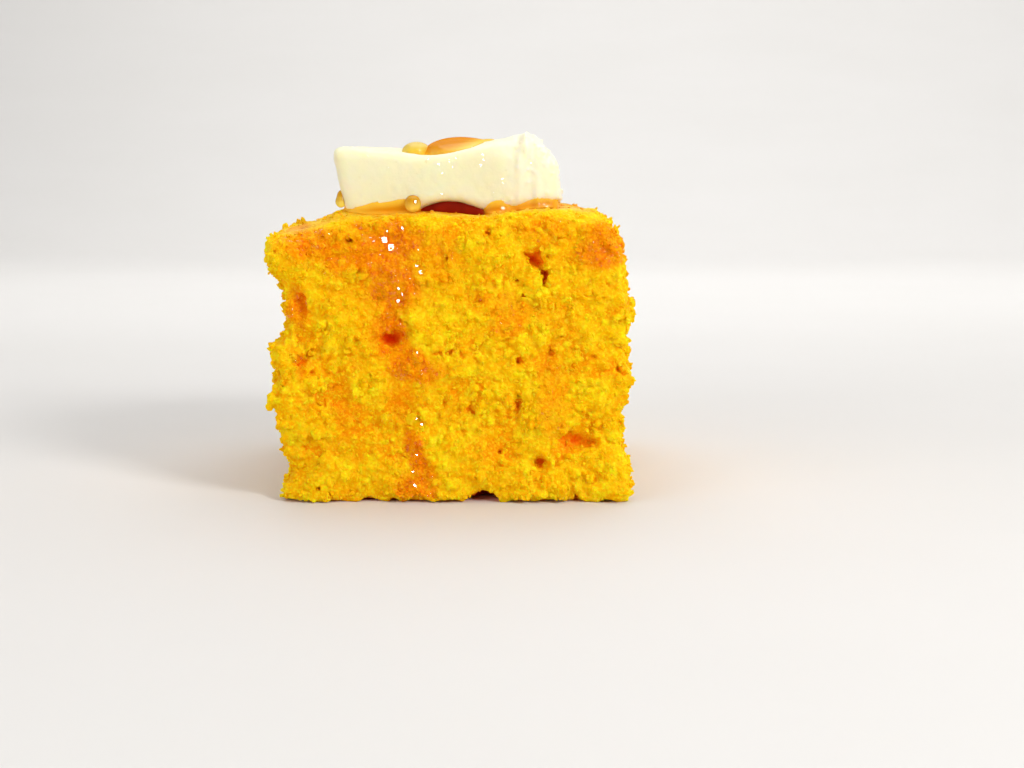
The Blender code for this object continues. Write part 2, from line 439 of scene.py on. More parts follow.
# %% The outline's ins and outs
LEFT_OUTLINE = (
    (0.0, -0.3), (0.05, -0.2), (0.09, -1.3), (0.17, -0.6), (0.29, -0.2), (0.32, 0.6), (0.37, 0.9),
    (0.42, 0.0), (0.5, 1.1), (0.54, 0.6), (0.57, -0.7), (0.6, -1.2), (0.66, -0.5), (0.73, -0.4),
    (0.78, 0.9), (0.85, 1.5), (0.9, 0.3), (0.94, 0.0),
)
RIGHT_OUTLINE = (
    (0.0, 0.3), (0.04, 0.8), (0.1, 0.3), (0.2, -0.3), (0.3, -0.8), (0.38, 0.0), (0.44, 0.7),
    (0.53, -0.6), (0.6, 0.3), (0.65, 0.9), (0.7, 0.2), (0.74, -1.0), (0.82, -1.1), (0.9, -0.5), (0.94, 0.0),
)
RAGGED_UP_TO, RAGGED_ENDS = 8.0, 22.0
SIDE_FROM, SIDE_FULL = 0.72, 0.9


def outline_push(points):
    """How far the left and right faces stand out at each point."""
    heights = points[:, 2] / bread_high[2]
    fade = 1 - soft_step(points[:, 1] - bread_low[1], RAGGED_UP_TO, RAGGED_ENDS)
    side = soft_step(np.abs(points[:, 0]), SIDE_FROM * bread_high[0], SIDE_FULL * bread_high[0])
    left = np.interp(heights, *np.array(LEFT_OUTLINE).T)
    right = np.interp(heights, *np.array(RIGHT_OUTLINE).T)
    return fade * side * np.where(points[:, 0] < 0, left, right)


# %% The crust's mound, in millimetres: how far it rises at each place across
CRUST_MOUND = (
    (-30.0, 0.2), (-28.0, 0.8), (-26.5, 1.1), (-24.0, 1.0), (-21.5, 1.5), (-19.2, 1.9), (-17.0, 1.7),
    (-14.5, 1.0), (-11.0, 0.2), (-9.0, 0.0),
)
MOUND_FROM, MOUND_FULL, MOUND_FADES, MOUND_ENDS = 1.5, 8.0, 26.0, 48.0
UPPER_FROM, UPPER_FULL = 36.0, 42.0


def mound_push(points):
    """How far the crust stands up at each point left of the butter."""
    behind_edge = points[:, 1] - bread_low[1]
    risen = soft_step(behind_edge, MOUND_FROM, MOUND_FULL)
    faded = soft_step(behind_edge, MOUND_FADES, MOUND_ENDS)
    upper = soft_step(points[:, 2], UPPER_FROM, UPPER_FULL)
    return risen * (1 - faded) * upper * np.interp(points[:, 0], *np.array(CRUST_MOUND).T)


# %% The bread as a field, a smooth copy with rounded corners, and a slack one that shows how deep a hole is
CORNER_ROUNDING, SLACKNESS = 0.7, 2.2

raw_bread = solid_field("cornbread", CRUMB_VOXEL, REACH, deeper=2 * REACH)
all_places = all_of(raw_bread)
push = outline_push(all_places) + mound_push(all_places)
raw_bread.values -= push.reshape(raw_bread.values.shape).astype(np.float32)
smooth_bread = blurred(raw_bread, CORNER_ROUNDING)
slack_bread = blurred(raw_bread, SLACKNESS)
band = np.abs(smooth_bread.values) < NEAR_SKIN
band_places = smooth_bread.places(band)
print("Grid points near the surface:", len(band_places))


# %% Where it is torn, and where it is crust
CRUST_FROM, CRUST_FULL = 0.62, 0.86


def crustness(points):
    """1 on the baked crust, 0 on the cut faces: the crust is where the surface looks up."""
    lift = np.array([0, 0, 2 * CRUMB_VOXEL])
    rise = (slack_bread.at(points + lift) - slack_bread.at(points - lift)) / (4 * CRUMB_VOXEL)
    return soft_step(rise, CRUST_FROM, CRUST_FULL)


crust = crustness(band_places)
torn = 1 - crust

# %% [markdown]
# ### Where the syrup has soaked in
#
# Syrup runs from the butter over the edge and soaks into the torn face, most where it runs thickest. Dry
# crumb is bright yellow and rough. Soaked crumb is amber, its crevices are filled, and it glistens. Each
# patch below is an ellipse on one face: its middle across and up, its half width and half height, and how
# wet it is. Waves bend the edges of the patches, so that none shows as an ellipse.

# %% Soaked patches, in millimetres
FRONT_SOAK = (
    (-22.0, 42.5, 5.5, 4.0, 0.8),
    (-11.5, 42.5, 7.0, 5.5, 1.0),
    (-9.0, 36.0, 4.5, 4.5, 0.95),
    (-2.5, 40.5, 4.0, 5.0, 0.5),
    (-9.6, 28.0, 3.6, 5.0, 1.0),
    (-6.2, 23.6, 5.4, 2.4, 0.9),
    (-7.0, 17.5, 3.2, 3.2, 0.45),
    (-6.2, 9.0, 1.9, 4.6, 1.0),
    (-6.2, 2.6, 3.2, 3.0, 1.0),
    (25.0, 43.0, 4.6, 4.4, 0.85),
    (14.5, 45.0, 7.0, 1.8, 0.45),
    (10.5, 31.5, 4.0, 3.5, 0.6),
    (5.2, 33.5, 1.6, 1.2, 0.6),
    (16.3, 18.0, 2.6, 9.0, 0.4),
    (15.9, 25.0, 1.4, 1.8, 0.7),
    (-25.0, 33.0, 1.8, 3.0, 0.7),
    (-25.0, 23.5, 1.8, 2.2, 0.6),
    (-18.0, 15.0, 2.0, 6.0, 0.4),
)
BACK_SOAK = ((-12.0, 40.0, 9.0, 4.5, 0.7), (13.0, 39.5, 6.0, 4.0, 0.5), (4.0, 26.0, 2.4, 9.0, 0.5))
LEFT_SOAK = ((-12.0, 39.0, 8.0, 4.5, 0.9), (-14.0, 29.0, 2.6, 8.0, 0.8), (10.0, 38.0, 6.0, 3.5, 0.5))
RIGHT_SOAK = ((-12.0, 40.0, 7.0, 4.0, 0.8), (-9.0, 30.0, 2.2, 8.0, 0.7), (12.0, 39.0, 7.0, 3.0, 0.4))
SOAK_DEPTH = 5.0
SOAK_CORE, SOAK_EDGE = 0.55, 1.25
SOAK_WAVE, FRAY_WAVE = 3.1, 1.4
BEND_UP, BEND_ACROSS, FRAY = 2.2, 1.6, 0.35

soak_bend = [Waves(SOAK_WAVE, seed) for seed in (11, 12)]
soak_fray = Waves(FRAY_WAVE, 13)


def soaked(points):
    """How wet the crumb is at each point, from 0 to 1."""
    x, y, z = points.T
    z = z + BEND_UP * soak_bend[0].at(points)
    bend = BEND_ACROSS * soak_bend[1].at(points)
    half_w, half_d = bread_high[0], bread_high[1]
    wet = np.zeros(len(points), np.float32)
    for patches, across, depth in (
        (FRONT_SOAK, x, y + half_d),
        (BACK_SOAK, x, half_d - y),
        (LEFT_SOAK, y, x + half_w),
        (RIGHT_SOAK, y, half_w - x),
    ):
        near = 1 - soft_step(depth, 0.5 * SOAK_DEPTH, SOAK_DEPTH)
        for middle, height, half_across, half_up, strength in patches:
            away = np.hypot((across + bend - middle) / half_across, (z - height) / half_up)
            wet = np.maximum(wet, near * strength * (1 - soft_step(away, SOAK_CORE, SOAK_EDGE)))
    return np.clip(wet * (1 + FRAY * soak_fray.at(points)), 0, 1)


# %% [markdown]
# ### Clumps, grains and pits
#
# The smooth bread is first made lumpy, at the size of clumps. Then a grain of meal goes into every cell
# near the surface, about half sunk, and smaller ones between. Last, pits are taken out. The points are bent
# by waves before the balls are looked up, so that no grain is a perfect ball. In soaked crumb the creases
# are filled more.

# %% The torn surface, lumpy
CLUMP_HEIGHT, LUMP_HEIGHT = 0.45, 0.3
HOLLOW_FROM, HOLLOW_FULL = 0.6, 1.4
BEND_WAVE = 0.9

clump_waves = [Waves(wave, seed) for wave, seed in ((CLUMP_WAVE, 1), (LUMP_WAVE, 2))]
bend_waves = [Waves(BEND_WAVE, seed) for seed in (3, 4, 5)]


def bent(points, amount):
    return points + amount * np.stack([waves.at(points) for waves in bend_waves], axis=1)


# In the solid's own hollows the corners stay sharp and no clump fills them.
wetness = soaked(band_places)
in_hollow = soft_step(-slack_bread.at(band_places), HOLLOW_FROM, HOLLOW_FULL)
lumps = CLUMP_HEIGHT * clump_waves[0].at(band_places) + LUMP_HEIGHT * clump_waves[1].at(band_places)
whole = smooth_bread.values[band]
whole = whole + (raw_bread.values[band] - whole) * in_hollow
base = whole - torn * lumps * (1 - in_hollow)
lumpy = smooth_bread.values.copy()
lumpy[band] = base
lumpy_bread = smooth_bread.copy(lumpy)


# %% Where grains, clods and pits go
DEEPEST_HOLLOW = -1.3
HALF = 0.5
# How far inside a torn face the middle of a ball may be, and how far outside.
GRAIN_BAND, CLOD_BAND, PIT_BAND = (0.9, 0.1), (0.9, 0.0), (0.8, 0.4)


def near_torn_face(depth, height, share):
    """A keep() for balls whose middles are from that depth inside to that height outside a torn face."""
    def keep(centres, radii, rng):
        away = lumpy_bread.at(centres)
        chosen = rng.random(len(centres)) < share
        outside = slack_bread.at(centres) > DEEPEST_HOLLOW
        return (away > -depth) & (away < height) & chosen & outside & (crustness(centres) < HALF)

    return keep


room = bread_low - REACH, bread_high + REACH
grains = Balls(
    *room, GRAIN_PITCH, GRAIN_SMALLEST, GRAIN_LARGEST, 21, near_torn_face(*GRAIN_BAND, GRAIN_SHARE)
)
clods = Balls(*room, CLOD_PITCH, CLOD_SMALLEST, CLOD_LARGEST, 22, near_torn_face(*CLOD_BAND, CLOD_SHARE))
pits = Balls(*room, PIT_PITCH, PIT_SMALLEST, PIT_LARGEST, 23, near_torn_face(*PIT_BAND, PIT_SHARE))
print("Grains:", grains.kept.sum(), "clods:", clods.kept.sum(), "pits:", pits.kept.sum())

# %% Grains, clods and pits on the torn surface
DRY_CREASE, WET_CREASE = 0.08, 0.14
CLOD_BEND, CLOD_CREASE = 0.6, 0.3
PIT_BEND, PIT_FILLING, PIT_RIM = 0.75, 0.3, 0.1

crinkle = CRINKLE_DEPTH * torn * (1 - HALF * wetness) * Waves(CRINKLE_WAVE, 6).at(band_places)
crease = DRY_CREASE + WET_CREASE * wetness
relief = base + SINK * torn
relief = soft_union(relief, clods.nearest(bent(band_places, CLOD_BEND))[0], CLOD_CREASE)
relief = soft_union(relief, grains.nearest(bent(band_places, GRAIN_BEND))[0], crease)
relief = relief - crinkle
relief = soft_cut(relief, pits.nearest(bent(band_places, PIT_BEND))[0] + PIT_FILLING * wetness, PIT_RIM)

# %% [markdown]
# Grains along the top edges of a cut face stop at the crust, because the crust was baked whole and the
# knife went through it. So nothing torn may rise above the line of the crust just behind it.

# %% Nothing torn rises above the crust
EDGE_IN = 2.6
ABOVE_CRUST = 0.05


def crust_line(places):
    """The height of the crust over each point, or behind it for a point near the front or back face."""
    half_d = bread_high[1] - EDGE_IN
    columns = np.argmax(smooth_bread.values[:, :, ::-1] < 0, axis=2)
    wide, long, tall = smooth_bread.values.shape
    top = tall - 1 - columns
    along = np.arange(wide)[:, None], np.arange(long)[None]
    under = smooth_bread.values[(*along, top)]
    over = smooth_bread.values[(*along, np.minimum(top + 1, top.max()))]
    heights = (top + smooth_bread.first[2] + under / np.minimum(under - over, -1e-3)) * CRUMB_VOXEL
    spot = np.stack([places[:, 0], np.clip(places[:, 1], -half_d, half_d)], axis=1) / CRUMB_VOXEL
    spot = spot - smooth_bread.first[:2]
    corner = np.clip(spot.astype(int), 0, np.array(heights.shape) - 2)
    share = spot - corner
    total = 0.0
    for step in product((0, 1), repeat=2):
        weight = np.prod(np.where(step, share, 1 - share), axis=1)
        total = total + weight * heights[tuple((corner + step).T)]
    return total.astype(np.float32)


inner_x = np.abs(band_places[:, 0]) < bread_high[0] - EDGE_IN
above = np.where(inner_x, band_places[:, 2] - crust_line(band_places) - ABOVE_CRUST, -FAR)
relief = np.maximum(relief, torn * above + (1 - torn) * np.minimum(above, relief))

# %% [markdown]
# The crust is a skin, not crumb. It has low blisters where steam lifted it, and small pores where the steam
# came out.

# %% The crust's own surface, in millimetres
BROAD_BLISTERS, SMALL_BLISTERS = (5.5, 0.28), (1.5, 0.13)
PORE_PITCH, PORE_SMALLEST, PORE_LARGEST, PORE_SHARE = 2.6, 0.25, 0.6, 0.55
PORE_BEND, PORE_RIM = 0.5, 0.25

blisters = sum(
    height * Waves(wave, seed).at(band_places)
    for (wave, height), seed in ((BROAD_BLISTERS, 31), (SMALL_BLISTERS, 32))
)
relief = relief - crust * blisters


def at_crust(centres, radii, rng):
    away = np.abs(smooth_bread.at(centres))
    return (away < CRUMB_VOXEL) & (rng.random(len(centres)) < PORE_SHARE) & (crustness(centres) > HALF)


pores = Balls(*room, PORE_PITCH, PORE_SMALLEST, PORE_LARGEST, 34, at_crust)
relief = soft_cut(relief, pores.nearest(bent(band_places, PORE_BEND))[0], PORE_RIM)
crumb_values = smooth_bread.values.copy()
crumb_values[band] = relief
crumb_field = smooth_bread.copy(crumb_values)

# %% [markdown]
# ### Holes with places of their own
#
# The front face has a few large holes: slits, dots, notches and a torn-out crescent, and chips along the
# bottom edge where crumb stuck to the pan. Each is one ellipsoid or more, cut from wherever the surface is
# there, with its walls bent by the same waves as the grains. One flake of crumb hangs off the left edge,
# and is added the same way.

# %% Holes and flakes, in millimetres: middle across and up, half width, half height, depth
FRONT_HOLES = (
    (-10.6, 27.0, 1.3, 1.15, 2.9),
    (-9.0, 27.9, 1.2, 0.7, 2.4),
    (13.0, 40.9, 1.8, 0.6, 2.4),
    (13.9, 39.6, 1.1, 1.0, 2.8),
    (15.0, 37.3, 0.65, 1.6, 2.4),
    (20.3, 10.2, 3.0, 1.5, 2.1),
    (19.0, 11.2, 1.3, 0.9, 2.0),
    (23.1, 9.9, 1.2, 0.8, 2.2),
    (14.7, 6.9, 1.5, 1.2, 1.15),
    (10.5, 16.4, 1.2, 1.5, 1.2),
    (11.0, 23.5, 0.35, 1.05, 1.6),
    (15.9, 25.0, 0.45, 1.3, 1.6),
    (18.1, 27.7, 0.4, 0.35, 1.3),
    (-0.4, 25.0, 0.6, 0.5, 1.2),
    (5.7, 44.3, 0.5, 0.5, 1.2),
    (11.8, 34.4, 0.4, 0.35, 1.2),
    (4.2, 33.6, 1.1, 0.35, 1.2),
    (-19.3, 19.3, 0.9, 0.35, 1.3),
    (-19.3, 16.7, 0.5, 0.5, 1.3),
    (-22.3, 2.4, 0.45, 0.4, 1.2),
    (-10.9, 12.6, 0.4, 0.35, 1.2),
    (-13.4, 21.4, 0.4, 0.35, 1.2),
    (-16.6, 43.5, 0.5, 0.42, 2.2),
    (-24.6, 32.6, 1.3, 2.1, 1.3),
    (-24.6, 23.6, 1.1, 1.2, 1.3),
    (5.2, 0.3, 2.5, 1.6, 6.0),
    (3.2, 0.0, 1.6, 1.0, 5.0),
    (-13.9, 0.0, 1.7, 0.8, 3.0),
    (-9.8, 0.0, 0.9, 0.8, 2.4),
    (20.3, 0.5, 0.4, 1.1, 2.0),
    (17.3, 0.0, 1.8, 0.5, 2.4),
)
FRONT_FLAKES = (
    (-28.7, 18.9, 1.1, 1.0, 1.1),
    (-29.5, 17.4, 0.9, 1.0, 1.0),
    (-30.2, 16.0, 0.6, 0.9, 0.8),
    (-29.4, 25.4, 1.3, 0.5, 0.9),
    (9.9, 16.2, 0.6, 0.7, 1.4),
    (14.0, 0.9, 0.9, 0.9, 1.0),
)


# %% Cutting the holes and adding the flakes
FLAKE_DEEPER = 1.2
WALL_ROUGHNESS, HOLE_RIM, FLAKE_ROUGHNESS, FLAKE_ROOT = 0.5, 0.12, 0.4, 0.2
FARTHEST_ASIDE, LOWEST = 27.0, 2.5
SEARCH_BEFORE, SEARCH_LENGTH, SEARCH_STEP = 2.0, 14.0, 0.1
BLOCK_MARGIN = 1.5


def front_surface(field, across, height):
    """Where the front face is, going in from outside."""
    ways = bread_low[1] - SEARCH_BEFORE + np.arange(0, SEARCH_LENGTH, SEARCH_STEP)
    line = np.stack([np.full_like(ways, across), ways, np.full_like(ways, height)], axis=1)
    return ways[np.argmax(field.at(line) < 0)]


def ellipsoid_block(field, middle, radii, roughness):
    """The part of a grid round an ellipsoid, and the distances there to the ellipsoid with its walls bent."""
    middle, radii = np.array(middle), np.array(radii)
    low = np.floor((middle - radii - BLOCK_MARGIN) / field.voxel).astype(int) - field.first
    high = np.ceil((middle + radii + BLOCK_MARGIN) / field.voxel).astype(int) - field.first + 1
    low, high = np.clip(low, 0, None), np.minimum(high, field.values.shape)
    block = tuple(slice(start, stop) for start, stop in zip(low, high))
    spots = np.stack(np.meshgrid(*[np.arange(a, b) for a, b in zip(low, high)], indexing="ij"), axis=-1)
    spots = ((spots.reshape(-1, 3) + field.first) * field.voxel).astype(np.float32)
    away = (bent(spots, roughness) - middle) / radii
    distance = (np.sqrt(np.sum(away**2, axis=1)) - 1) * radii.min()
    return block, distance.reshape(high - low).astype(np.float32)


def face_at(across, height):
    """Where the front face is at a place, or just inside its outline for a place at the very edge."""
    return front_surface(slack_bread, np.clip(across, -FARTHEST_ASIDE, FARTHEST_ASIDE), max(LOWEST, height))


for across, height, half_w, half_h, depth in FRONT_HOLES:
    middle = (across, face_at(across, height), height)
    block, distance = ellipsoid_block(crumb_field, middle, (half_w, depth, half_h), WALL_ROUGHNESS)
    crumb_values[block] = soft_cut(crumb_values[block], distance, HOLE_RIM)
for across, height, half_w, half_h, depth in FRONT_FLAKES:
    middle = (across, face_at(across, height) + FLAKE_DEEPER, height)
    block, distance = ellipsoid_block(crumb_field, middle, (half_w, depth, half_h), FLAKE_ROUGHNESS)
    crumb_values[block] = soft_union(crumb_values[block], distance, FLAKE_ROOT)
print("Holes:", len(FRONT_HOLES), "flakes:", len(FRONT_FLAKES))

# %% [markdown]
# The base is cut flat, to stand on. Along its edges it lifts off by up to a millimetre here and there,
# because torn crumb never meets the plate in one straight line.

# %% The flat base
EDGE_LIFT, EDGE_WIDTH, PAST_EDGE = 1.1, 1.6, 0.3
LIFT_WAVE, LIFT_MIDDLE, LIFT_SWING = 1.7, 0.45, 0.9
JUST_ABOVE_BASE = 5.0

over_base = band_places * np.array([1, 1, 0]) + np.array([0, 0, JUST_ABOVE_BASE])
edge_nearness = soft_step(slack_bread.at(over_base), -EDGE_WIDTH, PAST_EDGE)
lift_share = np.clip(LIFT_MIDDLE + LIFT_SWING * Waves(LIFT_WAVE, 33).at(band_places), 0, 1)
lift = EDGE_LIFT * edge_nearness * lift_share
crumb_values[band] = np.maximum(crumb_values[band], bread_low[2] + lift - band_places[:, 2])
level = (np.arange(crumb_values.shape[2]) + crumb_field.first[2]) * CRUMB_VOXEL
crumb_values = np.maximum(crumb_values, bread_low[2] - level.astype(np.float32))

# %% [markdown]
# Taking pits out can cut a speck free, or leave a bubble with no way in. A speck would float and a bubble
# can't be seen, so both go: what can be reached from the middle of the bread stays, and what can be reached
# from the air is air.

# %% No loose specks and no closed bubbles
def spread(start, allowed):
    """Everything that is joined to the start through allowed grid points."""
    reached = start & allowed
    count = -1
    while reached.sum() != count:
        count = reached.sum()
        grown = reached.copy()
        for axis in range(3):
            grown |= np.roll(reached, 1, axis) | np.roll(reached, -1, axis)
        reached = grown & allowed
    return reached


inside = crumb_values < 0
core = spread(slack_bread.values < -NEAR_SKIN, inside)
air = spread(slack_bread.values > NEAR_SKIN, ~inside)
print("Specks, grid points:", (inside & ~core).sum(), "bubbles:", (~inside & ~air).sum())
crumb_values[inside & ~core] = CRUMB_VOXEL
crumb_values[~inside & ~air] = -CRUMB_VOXEL
crumb_field = smooth_bread.copy(crumb_values)

# %% Its skin
MOST_TRIANGLES = 190_000


def new_piece(name, points, faces, material=None):
    mesh = bpy.data.meshes.new(name)
    mesh.from_pydata(points, [], faces)
    mesh.update()
    piece = bpy.data.objects.new(name, mesh)
    if material:
        mesh.materials.append(material)
    bpy.context.scene.collection.objects.link(piece)
    return piece


def triangle_count(piece):
    return sum(len(face.vertices) - 2 for face in piece.data.polygons)


def thin_out(piece, most):
    """Joins edges where the surface is flattest, until the piece has at most that many triangles."""
    count = triangle_count(piece)
    if count > most:
        thinning = piece.modifiers.new("Thinning", "DECIMATE")
        thinning.ratio = most / count
        apply_modifiers(piece)
    print(f"{piece.name}: {count} triangles, now {triangle_count(piece)}")


def apply_modifiers(piece):
    graph = bpy.context.evaluated_depsgraph_get()
    mesh = bpy.data.meshes.new_from_object(piece.evaluated_get(graph), depsgraph=graph)
    piece.modifiers.clear()
    piece.data = mesh


crumb = new_piece("crumb", *skin_of(crumb_field, NEAR_SKIN))
thin_out(crumb, MOST_TRIANGLES)

# %% What the finish needs to know at each point of the skin
def points_of(piece):
    """A mesh's points in millimetres."""
    places = np.empty(len(piece.data.vertices) * 3, np.float32)
    piece.data.vertices.foreach_get("co", places)
    return places.reshape(-1, 3) / MM


def note(piece, name, values):
    """Stores one number for each point of a mesh, which a material reads by that name."""
    attribute = piece.data.attributes.new(name, "FLOAT", "POINT")
    attribute.data.foreach_set("value", np.asarray(values, np.float32))


# Painted shade: from how deep below the surface the crevice, hole and deepest-hole shades each show, and from
# how deep each is all that shows, in millimetres.
CREVICE_SHADE_DEPTHS, HOLE_SHADE_DEPTHS, DEEPEST_SHADE_DEPTHS = (0.1, 0.85), (0.6, 1.9), (2.0, 2.75)
BROWNING_ENDS, BROWNING_FULL = -1.1, -0.3


def note_crumb(piece):
    places = points_of(piece)
    near_surface = smooth_bread.at(places)
    note(piece, "wet", soaked(places))
    note(piece, "browned", crustness(places) * soft_step(near_surface, BROWNING_ENDS, BROWNING_FULL))
    # Painted shade in crevices and holes: deeper places are painted more orange, the deepest dark red.
    note(piece, "deep", soft_step(-slack_bread.at(places), *HOLE_SHADE_DEPTHS))
    note(piece, "darkest", soft_step(-slack_bread.at(places), *DEEPEST_SHADE_DEPTHS))
    note(piece, "painted_crevice_shade", soft_step(-near_surface, *CREVICE_SHADE_DEPTHS))
    nearest_grain = grains.nearest(bent(places, GRAIN_BEND))[1]
    note(piece, "shade", grains.shade[nearest_grain])


note_crumb(crumb)
crumb.data.shade_smooth()
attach(crumb, BODY)
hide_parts("cornbread")

# %% [markdown]
# ### The crumb's finish
#
# Baked maize crumb is moist starch and meal. Light goes one or two millimetres into it and comes back
# yellow, because the blue is absorbed first, then the green. That is why a deep hole glows orange red and
# not grey. So the shader scatters light below the surface, red farthest. The shade in crevices, fine pits
# and holes, and the orange red that light gathers there, are also painted into the colour: painted shade,
# deeper ones redder. Dry crumb hardly shines. Soaked crumb has a thin coat of syrup.

# %% Baked maize: matt, a little rough, and bright yellow to amber
PER_MM = 1 / MM
MEAL_SIZE, FLECK_SIZE, CLOUD_SIZE, SYRUP_SWELL, PUDDLE_SIZE, SCORCH_SIZE = 0.7, 0.4, 5.0, 0.9, 2.2, 3.4
GRIT_BUMP, SWELL_BUMP = 0.3, 0.25
RED_GREEN_BLUE_REACH = (1.0, 0.55, 0.1)


def maize_finish(name, scatter):
    """Baked maize that scatters light that many millimetres below its surface."""
    material, tree, out = new_material(name)
    shade, painted_crevice_shade, wet, deep, darkest, browned = notes_in(
        tree, "shade", "painted_crevice_shade", "wet", "deep", "darkest", "browned"
    )
    place = add_node(tree, "ShaderNodeTexCoord").outputs["Object"]
    # Patterns: the meal's grains, fine flecks, broad clouds of paler and browner dough, and scorching.
    meal = add_node(tree, "ShaderNodeTexVoronoi", {"Vector": place, "Scale": PER_MM / MEAL_SIZE})
    fleck, cloud, scorch, swell, puddle = [
        add_node(tree, "ShaderNodeTexNoise", {
            "Vector": place, "Scale": PER_MM / size, "Detail": detail,
        }).outputs["Fac"]
        for size, detail in (
            (FLECK_SIZE, 2.0), (CLOUD_SIZE, 3.0), (SCORCH_SIZE, 5.0), (SYRUP_SWELL, 0.0), (PUDDLE_SIZE, 1.0),
        )
    ]
    grit = add_node(tree, "ShaderNodeMath", {0: fleck, 1: meal.outputs["Distance"]}, operation="SUBTRACT")
    # Shares: from where to where in a pattern a colour comes in, and how much of it shows at most.
    # between is painted shade: the low parts of the fine grit are painted orange.
    cloudy, speck, pale, between, scorched, puddled = [
        add_node(tree, "ShaderNodeMapRange", {
            "Value": pattern, "From Min": low, "From Max": high, "To Max": most,
        }).outputs[0]
        for pattern, low, high, most in (
            (cloud, 0.4, 0.6, 1.0), (fleck, 0.42, 0.62, 1.0), (fleck, 0.5, 0.62, 0.5),
            (grit.outputs[0], 0.2, -0.12, 0.25), (scorch, 0.4, 0.68, 1.0), (puddle, 0.53, 0.6, 0.3),
        )
    ]
    dough = layered(tree, tone("#fcba00"), (shade, tone("#ffe418")))
    browner = layered(tree, dough, (0.5, tone("#f8ae00")))
    syrupy = layered(tree, tone("#ee8600"), (speck, tone("#faa604")))
    crust_colour = layered(tree, tone("#f2b648"), (scorched, tone("#c67820")), (pale, tone("#f6c658")))
    # Painted shade: crevices, low grit and holes are painted more orange, and the deepest holes dark red,
    # where shade and light bounced inside them would fall.
    colour = layered(
        tree, dough, (cloudy, browner), (painted_crevice_shade, tone("#fba000")), (pale, tone("#ffe824")),
        (between, tone("#f89600")), (wet, syrupy), (deep, tone("#fd5a06")), (darkest, tone("#ae2200")),
        (browned, crust_colour),
    )
    bump = add_node(tree, "ShaderNodeBump", {
        "Height": grit.outputs[0], "Strength": 0.65, "Distance": GRIT_BUMP * MM,
    })
    smooth_bump = add_node(tree, "ShaderNodeBump", {
        "Height": swell, "Strength": 0.6, "Distance": SWELL_BUMP * MM,
    })
    coat = add_node(tree, "ShaderNodeMath", {0: wet, 1: puddled}, operation="MULTIPLY")
    skin = add_node(tree, "ShaderNodeBsdfPrincipled", {
        "Base Color": colour, "Roughness": 0.65, "IOR": 1.4, "Specular IOR Level": 0.08,
        "Normal": bump.outputs[0], "Subsurface Weight": 1.0, "Subsurface Radius": RED_GREEN_BLUE_REACH,
        "Subsurface Scale": scatter * MM, "Coat Weight": coat.outputs[0], "Coat Roughness": 0.04,
        "Coat IOR": 1.35, "Coat Normal": smooth_bump.outputs[0],
    })
    tree.links.new(skin.outputs[0], out.inputs["Surface"])
    return material


baked = maize_finish("baked_maize_crumb", scatter=1.0)
crumb.data.materials.append(baked)

# %% [markdown]
# ### Loose grit
#
# The field's grains are half a millimetre and more. Finer ones stand on every cut face, some of them barely
# holding on. They are small dented pebbles of twenty faces, put on the skin at random places and joined
# into one mesh.

# %% Grit
GRIT_COUNT = 8800
GRIT_SMALLEST, GRIT_LARGEST = 0.16, 0.4
MOST_SUNK, MOST_PROUD = -0.5, 0.35
STRETCH_LEAST, STRETCH_MOST, DENT = 0.55, 1.45, 0.38
HOLLOW_WITHOUT_GRIT, ABOVE_BASE = -1.2, 0.6


def pebble():
    """The points and faces of a twenty-faced ball of radius 1."""
    long, short = (1 + math.sqrt(5)) / 2, 1.0
    corners = np.array([turn for a, b in product((-short, short), (-long, long))
                        for turn in ((0, a, b), (a, b, 0), (b, 0, a))])
    corners /= np.linalg.norm(corners[0])
    away = np.linalg.norm(corners[:, None] - corners[None], axis=2)
    edge = away[0][np.argsort(away[0])[1]]
    faces = []
    for trio in combinations(range(len(corners)), 3):
        a, b, c = corners[list(trio)]
        if max(away[i, j] for i, j in combinations(trio, 2)) < 1.5 * edge:
            faces.append(trio if np.dot(np.cross(b - a, c - a), a) > 0 else trio[::-1])
    return corners, np.array(faces)


def random_places(piece, count, wanted, rng):
    """Random points on a mesh in millimetres, with their normals, where wanted() allows."""
    mesh = piece.data
    mesh.calc_loop_triangles()
    corners = np.array([t.vertices for t in mesh.loop_triangles])
    places = points_of(piece)[corners]
    across = np.cross(places[:, 1] - places[:, 0], places[:, 2] - places[:, 0])
    size = np.linalg.norm(across, axis=1)
    weight = size * wanted(places.mean(axis=1))
    chosen = rng.choice(len(corners), count, p=weight / weight.sum())
    shares = rng.dirichlet((1, 1, 1), count)
    return np.einsum("ij,ijk->ik", shares, places[chosen]), across[chosen] / size[chosen, None]


def scattered(name, shape, centres, sizes, rng):
    """Copies of a shape at these places, each turned, stretched and dented at random, as one mesh."""
    corners, faces = shape
    count = len(centres)
    turns, _ = np.linalg.qr(rng.normal(size=(count, 3, 3)))
    stretch = rng.uniform(STRETCH_LEAST, STRETCH_MOST, (count, 1, 3))
    dents = 1 + DENT * rng.uniform(-1, 1, (count, len(corners), 1))
    shapes = np.einsum("ijk,ilk->ijl", corners[None] * stretch * dents, turns) * sizes[:, None, None]
    flipped = np.linalg.det(turns) < 0
    points = (centres[:, None] + shapes).reshape(-1, 3)
    steps = (np.arange(count) * len(corners))[:, None, None]
    all_faces = np.where(flipped[:, None, None], faces[None, :, ::-1], faces[None]) + steps
    return new_piece(name, points * MM, all_faces.reshape(-1, 3).tolist())


def grit_wanted(places):
    bare = 1 - crustness(places)
    return bare * (slack_bread.at(places) > HOLLOW_WITHOUT_GRIT) * (places[:, 2] > ABOVE_BASE)


